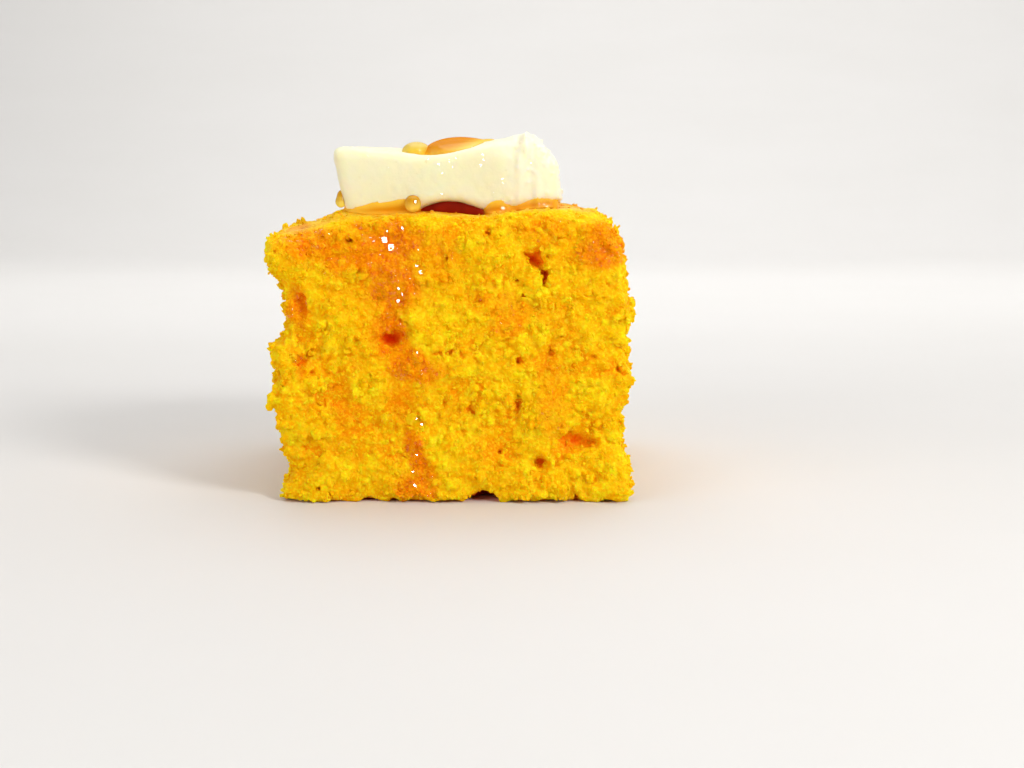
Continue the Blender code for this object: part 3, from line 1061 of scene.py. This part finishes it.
rng = np.random.default_rng(41)
grit_places, grit_normals = random_places(crumb, GRIT_COUNT, grit_wanted, rng)
grit_sizes = rng.uniform(GRIT_SMALLEST, GRIT_LARGEST, GRIT_COUNT)
grit_proud = grit_sizes * rng.uniform(MOST_SUNK, MOST_PROUD, GRIT_COUNT)
grit_centres = grit_places + grit_normals * grit_proud[:, None]
grit_piece = scattered("crumb_grit", pebble(), grit_centres, grit_sizes, rng)
note_crumb(grit_piece)
each_shade = np.repeat(rng.random(GRIT_COUNT), len(grit_piece.data.vertices) // GRIT_COUNT)
grit_piece.data.attributes["shade"].data.foreach_set("value", each_shade.astype(np.float32))
# A grain this small would glow right through if light went as deep into it as into the crumb.
grit_piece.data.materials.append(maize_finish("loose_maize_grit", scatter=0.12))
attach(grit_piece, BODY)
print("Grit triangles:", triangle_count(grit_piece))

# %% [markdown]
# ## The butter
#
# A slice off a stick of butter, left to soften. Its faces are smooth and waxy, its edges have rounded as
# they began to melt, and its right end was torn, not cut, so that end is grainy with short upright ridges.

# %% [markdown]
# The solid is a plain slab with a hollow top, so its field is bent by slow waves first. Upright ridges come
# from waves that are squeezed: points are moved together in height before the wave is looked up, which
# stretches it upward.

# %% The butter's shape, in millimetres
BUTTER_VOXEL, BUTTER_REACH, BUTTER_ROUNDING = 0.25, 2.0, 0.4
MOST_BUTTER_TRIANGLES = 110_000
TORN_FROM, TORN_FULL = 7.0, 11.5
BUTTER_WAVE, BUTTER_SWING = 6.0, 0.3
RIDGE_WAVE, RIDGE_DEPTH, RIDGE_SQUEEZE = 1.0, 0.3, (1.0, 0.35, 0.16)
DIMPLE_WAVE, DIMPLE_DEPTH = 0.9, 0.05
NEAR_BUTTER = 0.8 * BUTTER_REACH

raw_butter = solid_field("butter_pat", BUTTER_VOXEL, BUTTER_REACH)
butter_field = blurred(raw_butter, BUTTER_ROUNDING)
butter_band = np.abs(butter_field.values) < NEAR_BUTTER
butter_places = butter_field.places(butter_band)
torn_end = soft_step(butter_places[:, 0], TORN_FROM, TORN_FULL)

slow_waves, ridge_waves, dimple_waves = (
    Waves(wave, seed) for wave, seed in ((BUTTER_WAVE, 51), (RIDGE_WAVE, 52), (DIMPLE_WAVE, 53))
)
upright = butter_places * np.array(RIDGE_SQUEEZE)

# %% The fold: how far the butter stands out at each place across, where it is pinched beside its torn end
FOLD_LINE = (
    (7.0, 0.0), (8.2, -0.25), (10.2, -0.6), (10.9, -0.5), (11.5, 0.1), (12.05, 0.65), (12.6, 0.15),
    (13.2, -0.25), (14.5, -0.4), (15.5, 0.1), (16.5, 0.25), (18.0, 0.0),
)
FOLD_FADES, FOLD_ENDS = 2.5, 8.0
UNDER_TOP_FROM, UNDER_TOP_FULL = 4.5, 2.5


def fold_push(points):
    """How far the fold stands out at each point. It is near the front and the top."""
    near = 1 - soft_step(points[:, 1] - butter_low[1], FOLD_FADES, FOLD_ENDS)
    upper = soft_step(points[:, 2], butter_high[2] - UNDER_TOP_FROM, butter_high[2] - UNDER_TOP_FULL)
    return near * upper * np.interp(points[:, 0], *np.array(FOLD_LINE).T)


butter_relief = butter_field.values[butter_band]
butter_relief = butter_relief - BUTTER_SWING * slow_waves.at(butter_places)
butter_relief = butter_relief - RIDGE_DEPTH * ridge_waves.at(upright) * torn_end
butter_relief = butter_relief - DIMPLE_DEPTH * dimple_waves.at(butter_places)
butter_relief = butter_relief - fold_push(butter_places)
butter_values = butter_field.values.copy()
butter_values[butter_band] = butter_relief
rough_butter = butter_field.copy(butter_values)

# %% Curds: the torn end breaks between them
CURD_PITCH, CURD_SMALLEST, CURD_LARGEST, CURD_SHARE = 1.1, 0.25, 0.55, 0.8
CURDS_FROM, CURDS_FULL = 7.0, 13.0
CURD_DEEPEST, CURD_HIGHEST = -0.45, 0.05
CURD_BEND, CURD_SINK, CURD_CREASE = 0.35, 0.12, 0.4


def near_torn_end(centres, radii, rng):
    away = rough_butter.at(centres)
    chosen = rng.random(len(centres)) < soft_step(centres[:, 0], CURDS_FROM, CURDS_FULL) * CURD_SHARE
    return (away > CURD_DEEPEST) & (away < CURD_HIGHEST) & chosen


curds = Balls(butter_low - 1, butter_high + 1, CURD_PITCH, CURD_SMALLEST, CURD_LARGEST, 54, near_torn_end)
curd_distance = curds.nearest(bent(butter_places, CURD_BEND))[0] + CURD_SINK
butter_values[butter_band] = soft_union(butter_relief, curd_distance, CURD_CREASE)
butter_field = butter_field.copy(butter_values)
butter = new_piece("butter", *skin_of(butter_field, NEAR_BUTTER))
thin_out(butter, MOST_BUTTER_TRIANGLES)
note(butter, "torn_end", soft_step(points_of(butter)[:, 0], TORN_FROM, TORN_FULL))
butter.data.shade_smooth()

# %% [markdown]
# Butter is fat with fine drops of water in it. Light goes farther into it than into bread and comes back
# cream, paler where the end is torn and more light gets in. Softened butter has a satin gloss, broken by
# pores half a millimetre wide.

# %% Soft butter: satin, cream, and marbled where it was churned
MARBLE_SIZE, PORE_SIZE, PORE_DEPTH, BUTTER_GLOW = 7.0, 0.5, 0.1, 1.8


def butter_finish():
    material, tree, out = new_material("soft_butter")
    place = add_node(tree, "ShaderNodeTexCoord").outputs["Object"]
    marble, pitting = [
        add_node(tree, "ShaderNodeTexNoise", {
            "Vector": place, "Scale": PER_MM / size, "Detail": 3.0,
        }).outputs["Fac"]
        for size in (MARBLE_SIZE, PORE_SIZE)
    ]
    (at_torn_end,) = notes_in(tree, "torn_end")
    colour = layered(tree, tone("#e8e3b8"), (marble, tone("#edeacc")), (at_torn_end, tone("#f1edd0")))
    bump = add_node(tree, "ShaderNodeBump", {
        "Height": pitting, "Strength": 0.4, "Distance": PORE_DEPTH * MM,
    })
    skin = add_node(tree, "ShaderNodeBsdfPrincipled", {
        "Base Color": colour, "Roughness": 0.38, "IOR": 1.46, "Normal": bump.outputs[0],
        "Subsurface Weight": 1.0, "Subsurface Radius": (1.0, 0.8, 0.4), "Subsurface Scale": BUTTER_GLOW * MM,
    })
    tree.links.new(skin.outputs[0], out.inputs["Surface"])
    return material


butter.data.materials.append(butter_finish())
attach(butter, BODY)
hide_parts("butter_pat")

# %% [markdown]
# ## The syrup
#
# Table syrup is clear amber. A thin film of it is straw coloured and a deep pool is orange, because it
# absorbs as light goes through, blue most. It also holds fine bubbles, and meal that it washed off the
# crumb, and these cloud it a little. A glass shader would bend the light too, and then hardly any reaches
# the crumb through a thin film. So each body of syrup is a tinted clear skin with a gloss, mixed with a
# share of matt cloud on the side that light meets first. Tint and cloud follow the depth that is stored at
# each point. Each body is a solid that reaches a little into what it lies on, so that no air shows between
# them.

# %% Syrup: clear and tinted, clouded by meal, glossy
RIPPLE_SIZE, RIPPLE_BUMP = 1.2, 0.2


def syrup_finish(name, thin, thick, cloud=None, cloudy=0.0, ripple=0.0, brightest=0.4, ior=1.49):
    """Syrup: its tint where thin and where thick, its cloud's two colours and share, how rippled it is, and
    the most that it mirrors at a low angle."""
    material, tree, out = new_material(name)
    (depth,) = notes_in(tree, "depth")
    place = add_node(tree, "ShaderNodeTexCoord").outputs["Object"]
    ripples = add_node(tree, "ShaderNodeTexNoise", {
        "Vector": place, "Scale": PER_MM / RIPPLE_SIZE, "Detail": 1.0,
    })
    bump = add_node(tree, "ShaderNodeBump", {
        "Height": ripples.outputs["Fac"], "Strength": ripple, "Distance": RIPPLE_BUMP * MM,
    })
    tint = layered(tree, tone(thin), (depth, tone(thick)))
    body = add_node(tree, "ShaderNodeBsdfTransparent", {"Color": tint})
    behind = add_node(tree, "ShaderNodeNewGeometry").outputs["Backfacing"]
    if cloud:
        meal = layered(tree, tone(cloud[0]), (depth, tone(cloud[1])))
        murk = add_node(tree, "ShaderNodeBsdfDiffuse", {"Color": meal})
        share = add_node(tree, "ShaderNodeMapRange", {"Value": behind, "To Min": cloudy, "To Max": 0.0})
        parts = {0: share.outputs[0], 1: body.outputs[0], 2: murk.outputs[0]}
        body = add_node(tree, "ShaderNodeMixShader", parts)
    shine = add_node(tree, "ShaderNodeBsdfGlossy", {"Roughness": 0.06, "Normal": bump.outputs[0]})
    edge = add_node(tree, "ShaderNodeFresnel", {"IOR": ior, "Normal": bump.outputs[0]})
    most = add_node(tree, "ShaderNodeMapRange", {"Value": behind, "To Min": brightest, "To Max": 0.0})
    mirror = add_node(tree, "ShaderNodeMath", {0: edge.outputs[0], 1: most.outputs[0]}, operation="MINIMUM")
    parts = {0: mirror.outputs[0], 1: body.outputs[0], 2: shine.outputs[0]}
    skin = add_node(tree, "ShaderNodeMixShader", parts)
    tree.links.new(skin.outputs[0], out.inputs["Surface"])
    return material


# %% Bodies of syrup
FULL_DEPTH = 0.7
MOST_SYRUP_TRIANGLES = 60_000


def add_syrup(name, field, reach, material, under=None, most=MOST_SYRUP_TRIANGLES, full=FULL_DEPTH):
    """A body of syrup. under is the field of what it lies on. From the depth full it is darkest."""
    piece = new_piece(name, *skin_of(field, reach), material)
    thin_out(piece, most)
    if under is not None:
        note(piece, "depth", soft_step(under.at(points_of(piece)), 0.0, full))
    piece.data.shade_smooth()
    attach(piece, BODY)
    return piece


def ball_distance(points, centre, radii):
    """Distance to an ellipsoid, near enough for one that isn't very flat."""
    spot = (points - np.array(centre)) / np.array(radii)
    length = np.sqrt(np.sum(spot**2, axis=1))
    slope = np.sqrt(np.sum((spot / np.array(radii)) ** 2, axis=1))
    return ((length - 1) * length / np.maximum(slope, 1e-6)).astype(np.float32)


# %% [markdown]
# ### The pool
#
# The syrup was poured into the hollow of the butter, where it stands as a low dome, held by its own skin.
# Round the dome it thins out to a sheet that follows the butter. So the pool is an ellipsoid joined to a
# sheet of even depth.

# %% The pool in the butter's hollow: middle and radii, in millimetres
POOL = ((0.9, -8.6, 56.9), (6.5, 7.6, 3.0))
POOL_SWING, POOL_FULL_DEPTH, POOL_ABOVE_FOOT = 0.25, 1.8, 7.5
PUDDLE = ((-0.6, -7.6), (8.6, 7.2))
PUDDLE_DEPTH, PUDDLE_SWING, PUDDLE_THINS, PUDDLE_BEHIND_FACE, PUDDLE_BLEND = 0.55, 0.3, 2.0, 2.6, 0.5
INTO = 0.3
IN_PLAN = np.array([1, 1, 0])

butter_room = all_of(butter_field)
butter_shape = butter_field.values.shape
to_butter = butter_field.values.ravel()
x, y, z = butter_room.T


def in_butter_room(values):
    """Values at each point of butter_room, as a field."""
    return butter_field.copy(values.astype(np.float32).reshape(butter_shape))


pool_syrup = syrup_finish(
    "syrup_pool", "#fff4c0", "#f8c844", cloud=("#f8cc44", "#e08a00"), cloudy=0.6, brightest=0.05
)
dome = ball_distance(butter_room, *POOL) - POOL_SWING * slow_waves.at(butter_room)
across, along = ((butter_room[:, i] - PUDDLE[0][i]) / PUDDLE[1][i] for i in (0, 1))
frayed = np.hypot(across, along) - 1 - PUDDLE_SWING * slow_waves.at(butter_room * IN_PLAN)
thinned = soft_step(frayed * min(PUDDLE[1]), -PUDDLE_THINS, 0.0)
sheet = (np.sqrt(np.maximum(to_butter, 0) / PUDDLE_DEPTH) - 1 + thinned) * PUDDLE_DEPTH
sheet = np.where(y > butter_low[1] + PUDDLE_BEHIND_FACE, sheet, FAR).astype(np.float32)
pool = np.maximum.reduce([
    soft_union(dome, sheet, PUDDLE_BLEND), -(to_butter + INTO), butter_low[2] + POOL_ABOVE_FOOT - z,
])
add_syrup("syrup_pool", in_butter_room(pool), BUTTER_REACH, pool_syrup, butter_field, full=POOL_FULL_DEPTH)

# %% [markdown]
# ### The foot
#
# Syrup creeps up where the butter stands on the crust, because it wets both. It stands highest at the
# front, where it ran down. The foot is thickest in the corner and thins out hollow, up the butter and away
# over the crust, as the sum of a square root and a straight line does.

# %% The foot of syrup round the butter: its height at each place across the front, in millimetres
FOOT_LINE = (
    (-19.0, 0.6), (-17.0, 0.4), (-15.0, 1.3), (-12.0, 1.9), (-9.0, 2.5), (-6.6, 2.7), (-5.6, 1.2),
    (-4.6, 0.0), (4.6, 0.0), (5.6, 1.8), (7.2, 2.7), (8.8, 2.0), (10.2, 0.7), (12.0, 1.6), (14.5, 1.9),
    (17.5, 1.4), (20.0, 0.8),
)
FOOT_SMOOTHING = (-0.9, -0.3, 0.3, 0.9)
FOOT_AROUND, AROUND_SWING, FOOT_SWING = 0.9, 0.8, 0.12
FRONT_ENDS, AROUND_BEGINS = 3.0, 6.0
SPREAD, LEAST_REACH, SLOPE_LIMIT, NO_FOOT_BELOW = 0.6, 0.05, 1.0, 0.25

foot_syrup = syrup_finish(
    "syrup_at_the_foot", "#fde8a8", "#f8cc44", cloud=("#f6c030", "#e48e04"), cloudy=0.7, ripple=0.2,
    brightest=0.05,
)
foot_waves = Waves(3.6, 63)
to_bread = smooth_bread.at(butter_room)
at_front = 1 - soft_step(y, butter_low[1] + FRONT_ENDS, butter_low[1] + AROUND_BEGINS)
around = FOOT_AROUND * (1 + AROUND_SWING * foot_waves.at(butter_room * IN_PLAN))
line = sum(np.interp(x + aside, *np.array(FOOT_LINE).T) for aside in FOOT_SMOOTHING) / len(FOOT_SMOOTHING)
reach = at_front * line + (1 - at_front) * np.clip(around, 0, None)
reach = reach * (1 + FOOT_SWING * foot_waves.at(butter_room * 2))
spread_out = np.maximum(to_butter, 0) / np.maximum(SPREAD * reach, LEAST_REACH)
rise = np.maximum(to_bread, 0) / np.maximum(reach, LEAST_REACH)
foot = (np.sqrt(spread_out) + rise - 1) * np.minimum(SPREAD * reach + LEAST_REACH, SLOPE_LIMIT)
foot = np.maximum.reduce([foot, -(to_butter + INTO), -(to_bread + INTO), NO_FOOT_BELOW - reach])
foot_base = in_butter_room(np.minimum(to_butter, to_bread))
add_syrup("syrup_meniscus", in_butter_room(foot), BUTTER_REACH, foot_syrup, foot_base)

# %% [markdown]
# ### The seat under the butter
#
# Between the butter and the bumpy crust is a thin gap, full of syrup. Under the arch at the front it is
# deeper and in the shade, where syrup looks dark red. No light gets in to tint it in the render, so this
# one is a plain glossy solid, coloured as the syrup looks there.

# %% Syrup under the butter, in millimetres
ARCH_LEFT, ARCH_RIGHT, ARCH_FRONT, ARCH_BACK = -6.6, 5.8, -21.6, -13.0
ARCH_SIDE_BLEND, ARCH_BACK_BLEND, ARCH_RAGGED = 0.8, 1.0, 0.5
SEAT_INSET, SEAT_HEIGHT = 0.9, 3.0
LEAN = 0.7
OUTLINE_HEIGHT = 4.5
MOST_SEAT_TRIANGLES = 30_000
SHADE_SIZE = 2.0


def shaded_syrup_finish():
    material, tree, out = new_material("syrup_in_shade")
    (in_shade,) = notes_in(tree, "in_arch")
    place = add_node(tree, "ShaderNodeTexCoord").outputs["Object"]
    murk = add_node(tree, "ShaderNodeTexNoise", {
        "Vector": place, "Scale": PER_MM / SHADE_SIZE, "Detail": 2.0,
    })
    red = layered(tree, tone("#6e0e00"), (murk.outputs["Fac"], tone("#981c00")))
    amber = layered(tree, tone("#e89c18"), (murk.outputs["Fac"], tone("#f6bc34")))
    skin = add_node(tree, "ShaderNodeBsdfPrincipled", {
        "Base Color": layered(tree, amber, (in_shade, red)), "Roughness": 0.4, "Specular IOR Level": 0.1,
    })
    tree.links.new(skin.outputs[0], out.inputs["Surface"])
    return material


# The butter leans to one side, so its outline is read higher up, where it stands clear of the crust.
over = butter_room - np.array([LEAN, 0, 0])
over[:, 2] = butter_low[2] + OUTLINE_HEIGHT
outline = butter_field.at(over)
from_left = soft_step(x, ARCH_LEFT, ARCH_LEFT + ARCH_SIDE_BLEND)
from_right = 1 - soft_step(x, ARCH_RIGHT - ARCH_SIDE_BLEND, ARCH_RIGHT)
in_arch = from_left * from_right * (1 - soft_step(y, ARCH_BACK - ARCH_BACK_BLEND, ARCH_BACK))
set_back = ARCH_FRONT + ARCH_RAGGED * foot_waves.at(butter_room) - y
seat = np.maximum.reduce([
    -(to_butter + INTO), -(to_bread + INTO), outline + SEAT_INSET, z - butter_low[2] - SEAT_HEIGHT,
    np.where(in_arch > HALF, set_back, -FAR),
])
seat_piece = add_syrup(
    "syrup_under_butter", in_butter_room(seat), BUTTER_REACH, shaded_syrup_finish(), most=MOST_SEAT_TRIANGLES
)
note(seat_piece, "in_arch", in_butter_room(in_arch).at(points_of(seat_piece)))

# %% [markdown]
# ### The drops
#
# A drop hangs together by its skin, so it is nearly a ball. It is also a lens, which turns what is behind
# it upside down: its top looks dark, and its lower edge shows the bright room. That takes a glass shader
# and clear air behind, and these drops touch butter. So the dark top is painted shade and the bright foot
# painted light, both stored as the syrup's depth.

# %% The drops, in millimetres: middle, radii, and how dark the painted shade on the top of each is
DROP_VOXEL = 0.15
DROP_ROOM = 4.0
DROP_BLEND = 0.3
DROP_LOW, DROP_HIGH = -0.8, 0.5
MOST_DROP_TRIANGLES = 40_000
EDGE_SEARCH, EDGE_STEP = 40.0, 0.05


def edge_of(field, start, way):
    """The first point from start, which is inside, along way, where the field says outside."""
    way = np.array(way) / np.linalg.norm(way)
    places = np.array(start) + np.arange(0, EDGE_SEARCH, EDGE_STEP)[:, None] * way
    return places[np.argmax(field.at(places) > 0)]


foot_drop = edge_of(butter_field, (-6.4, -10.0, 49.1), (0, -1, 0)) + np.array([0, -0.55, 0])
hanging_drop = edge_of(butter_field, (-10.0, -19.0, 49.9), (-1, -0.35, 0)) + np.array([-0.25, 0, 0])
DROPS = (
    (foot_drop, (1.36, 1.3, 1.42), 1.0),
    (hanging_drop, (0.7, 0.75, 1.35), 1.0),
    (hanging_drop - np.array([0, 0, 0.55]), (0.92, 0.9, 0.95), 0.8),
    (np.array([-6.6, -9.5, 57.5]), (2.5, 3.2, 1.7), 0.5),
)
drop_low = np.min([centre - DROP_ROOM for centre, *_ in DROPS], axis=0)
drop_high = np.max([centre + DROP_ROOM for centre, *_ in DROPS], axis=0)
drop_shape = np.ceil((drop_high - drop_low) / DROP_VOXEL).astype(int)
empty = np.full(drop_shape, FAR, np.float32)
drops = Field(empty, np.floor(drop_low / DROP_VOXEL).astype(int), DROP_VOXEL)
drop_places = all_of(drops)
for centre, radii, _ in DROPS:
    near = ball_distance(drop_places, centre, radii).reshape(drop_shape)
    drops.values = soft_union(drops.values, near, DROP_BLEND)


def painted_drop_shade(places):
    """How dark each place of a drop is painted, up to 1 near its top: painted shade above, painted light
    below.
    """
    centres, radii, darkest = (np.array(part) for part in zip(*DROPS))
    away = (places[:, None] - centres) / radii
    nearest = np.argmin(np.linalg.norm(away, axis=2), axis=1)
    heights = away[np.arange(len(places)), nearest, 2]
    return darkest[nearest] * soft_step(heights, DROP_LOW, DROP_HIGH)


# The drop's tint and cloud run from pale yellow at its foot to dark amber at its top: a lens's painted light
# and painted shade.
drop_syrup = syrup_finish(
    "syrup_drop", "#fff4b0", "#f4d080", cloud=("#fbe85c", "#cc9410"), cloudy=0.75, brightest=0.25
)
drop_piece = add_syrup("syrup_drops", drops, 1.0, drop_syrup, most=MOST_DROP_TRIANGLES)
# Here the depth note holds the painted shade of the drop, not a real depth.
note(drop_piece, "depth", painted_drop_shade(points_of(drop_piece)))

# %% [markdown]
# ### The film on the crust
#
# Over the crust the syrup is a few tenths of a millimetre deep. It levels out small bumps, so it is a skin
# over a blurred copy of the bread, deeper and shallower in slow waves. It stops where the crust does: on
# the torn faces the syrup has gone in, and the crumb's own coat shows it.

# %% The film, in millimetres
FILM_LEVELLING, FILM_DEPTH, FILM_SWING, NOT_ON_CRUMB, FILM_FOOT = 0.45, 0.22, 0.45, 0.7, 0.2
BROAD_RIPPLES, SMALL_RIPPLES = (7.0, 0.5), (2.4, 0.35)
MOST_FILM_TRIANGLES = 150_000

film_syrup = syrup_finish("syrup_film", "#fdeab0", "#f6c250", ripple=0.5, brightest=0.06, ior=1.4)
film_base = blurred(crumb_field, FILM_LEVELLING)
on_crust = crustness(band_places)
ripple = sum(
    height * Waves(wave, seed).at(band_places)
    for (wave, height), seed in ((BROAD_RIPPLES, 61), (SMALL_RIPPLES, 62))
)
film_depth = on_crust * (FILM_DEPTH + FILM_SWING * ripple) - NOT_ON_CRUMB * (1 - on_crust)
level_bread = film_base.values[band]
film_values = np.full(film_base.values.shape, REACH, np.float32)
film_values[band] = np.maximum.reduce([
    level_bread - film_depth, -(level_bread + NOT_ON_CRUMB), FILM_FOOT - band_places[:, 2],
])
film = film_base.copy(film_values)
add_syrup("syrup_film", film, NEAR_SKIN, film_syrup, crumb_field, MOST_FILM_TRIANGLES)

# %% [markdown]
# ### Beads of syrup
#
# Small beads of syrup stand on the soaked crumb, and these are what glints. Each is a lens that lies on the
# surface, not a ball: a low curve mirrors more of the lamp. Most are strewn at random. The larger ones on
# the front face have their own places and stand just clear of the grit, and one gives the drop at the
# butter's foot its glint.

# %% Lenses
def ball(halvings):
    """The points and faces of a ball of radius 1, from an icosahedron whose edges are halved that often."""
    shape = bmesh.new()
    bmesh.ops.create_icosphere(shape, subdivisions=halvings + 1, radius=1)
    corners = np.array([v.co for v in shape.verts])
    faces = np.array([[v.index for v in face.verts] for face in shape.faces])
    shape.free()
    return corners, faces


def turned_to(normals):
    """For each normal, the turn that takes the Z axis to it."""
    normals = normals / np.linalg.norm(normals, axis=1)[:, None]
    side = np.cross(np.array([0.0, 1.0, 0.01]), normals)
    side /= np.linalg.norm(side, axis=1)[:, None]
    return np.stack([side, np.cross(normals, side), normals], axis=-1)


def glint_ways(places):
    """For each place, the way a surface faces to mirror the window lamp at the camera."""
    to_lamp = np.array(WINDOW) / MM - places
    to_camera = np.array(camera.location) / MM - places
    return sum(way / np.linalg.norm(way, axis=1)[:, None] for way in (to_lamp, to_camera)) / 2


def lenses(centres, normals, sizes, flatness, halvings):
    """Balls pressed flat along those normals: their points in millimetres and their faces."""
    corners, faces = ball(halvings)
    points = np.einsum("ijk,lk->ilj", turned_to(normals), corners * np.array([1, 1, flatness]))
    points = (centres[:, None] + points * sizes[:, None, None]).reshape(-1, 3)
    return points, (faces[None] + (np.arange(len(sizes)) * len(corners))[:, None, None]).reshape(-1, 3)


def add_lenses(name, strewn, placed, material, depth):
    """One piece of two lots of lenses, with one depth of syrup or fat in all of them."""
    points = np.concatenate([strewn[0], placed[0]])
    faces = np.concatenate([strewn[1], placed[1] + len(strewn[0])])
    piece = new_piece(name, points * MM, faces.tolist(), material)
    note(piece, "depth", np.full(len(points), depth))
    piece.data.shade_smooth()
    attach(piece, BODY)
    print(f"{name}: {triangle_count(piece)} triangles")


# %% Beads on the soaked crumb, in millimetres: place across and up, and size
BEAD_COUNT = 900
BEAD_SMALLEST, BEAD_LARGEST, BEAD_FLATNESS, BEAD_TURN, BEAD_DEPTH = 0.14, 0.36, 0.16, 0.7, 0.3
FRONT_BEADS = (
    (-10.8, 43.4, 0.75), (-9.7, 42.2, 0.85), (-10.3, 44.8, 0.3), (-7.9, 45.3, 0.35), (-8.7, 33.6, 0.5),
    (-7.9, 34.6, 0.4), (-8.6, 35.6, 0.3), (-5.6, 39.3, 0.35), (-5.0, 38.2, 0.45), (-5.6, 25.2, 0.3),
    (-5.0, 13.3, 0.4), (-5.8, 14.1, 0.3), (-6.2, 3.0, 0.4), (-5.9, 8.1, 0.3), (-6.6, 5.2, 0.3),
)
PLACED_FLATNESS, CLEAR_OF_FACE, CLEAR_BY_SIZE = 0.075, 0.1, 0.45
DROP_GLINT, DROP_GLINT_SIZE = (0.45, -1.25, 0.35), 0.38
ABOVE_TABLE = 1.0


def bead_wanted(places):
    """Most where it is wettest."""
    return soaked(places) ** 3 * (places[:, 2] > ABOVE_TABLE)


rng = np.random.default_rng(71)
bead_centres, bead_normals = random_places(crumb, BEAD_COUNT, bead_wanted, rng)
bead_normals = bead_normals + BEAD_TURN * glint_ways(bead_centres)
bead_sizes = rng.uniform(BEAD_SMALLEST, BEAD_LARGEST, BEAD_COUNT)
strewn_beads = lenses(bead_centres, bead_normals, bead_sizes, BEAD_FLATNESS, 1)
front_beads = [
    (across, front_surface(crumb_field, across, height) - CLEAR_OF_FACE - CLEAR_BY_SIZE * size, height)
    for across, height, size in FRONT_BEADS
]
front_beads = np.array([*front_beads, foot_drop + np.array(DROP_GLINT)])
front_sizes = np.array([size for *_, size in FRONT_BEADS] + [DROP_GLINT_SIZE])
placed_beads = lenses(front_beads, glint_ways(front_beads), front_sizes, PLACED_FLATNESS, 3)
bead_syrup = syrup_finish("syrup_bead", "#fff4d8", "#fff0c8", ior=1.6)
add_lenses("syrup_beads", strewn_beads, placed_beads, bead_syrup, BEAD_DEPTH)

# %% [markdown]
# ### Fat on the butter
#
# The butter sweats as it warms. The drops of fat are clear and very small, and only their glints show, so
# they are lenses too, without a tint.

# %% Drops of fat, in millimetres: place across and up, and size
DEW_COUNT = 130
DEW_SMALLEST, DEW_LARGEST, DEW_FLATNESS, DEW_TURN, DEW_CLEAR = 0.12, 0.32, 0.14, 0.8, 0.08
FRONT_DEW = (
    (-3.9, 56.3, 0.2), (-2.2, 55.5, 0.3), (-0.4, 56.0, 0.26), (0.1, 55.1, 0.22), (0.6, 56.4, 0.2),
    (-1.6, 54.0, 0.2), (5.1, 56.2, 0.3), (4.7, 55.3, 0.24), (5.0, 57.0, 0.2), (8.2, 53.1, 0.24),
    (8.3, 52.4, 0.18), (6.7, 50.9, 0.18), (-1.7, 50.7, 0.18), (-10.1, 52.4, 0.18), (-13.6, 56.8, 0.2),
    (-10.3, 54.9, 0.18), (12.9, 55.6, 0.18),
)
SWEAT_FROM, SWEAT_UNDER_TOP, SWEAT_LEAST = 3.0, 2.0, 0.15


def sweats(places):
    """Most on the upper part of its sides."""
    upper = soft_step(places[:, 2], butter_low[2] + SWEAT_FROM, butter_high[2] - SWEAT_UNDER_TOP)
    return upper + SWEAT_LEAST


dew_centres, dew_normals = random_places(butter, DEW_COUNT, sweats, rng)
dew_normals = dew_normals + DEW_TURN * glint_ways(dew_centres)
dew_sizes = rng.uniform(DEW_SMALLEST, DEW_LARGEST, DEW_COUNT)
strewn_dew = lenses(dew_centres, dew_normals, dew_sizes, DEW_FLATNESS, 1)
front_dew = np.array([
    (across, front_surface(butter_field, across, height) - DEW_CLEAR, height)
    for across, height, _ in FRONT_DEW
])
front_dew_sizes = np.array([size for *_, size in FRONT_DEW])
placed_dew = lenses(front_dew, glint_ways(front_dew), front_dew_sizes, PLACED_FLATNESS, 2)
clear_fat = syrup_finish("clear_fat", "#fffefa", "#fffdf6", ior=1.6)
add_lenses("butter_dew", strewn_dew, placed_dew, clear_fat, 0.0)
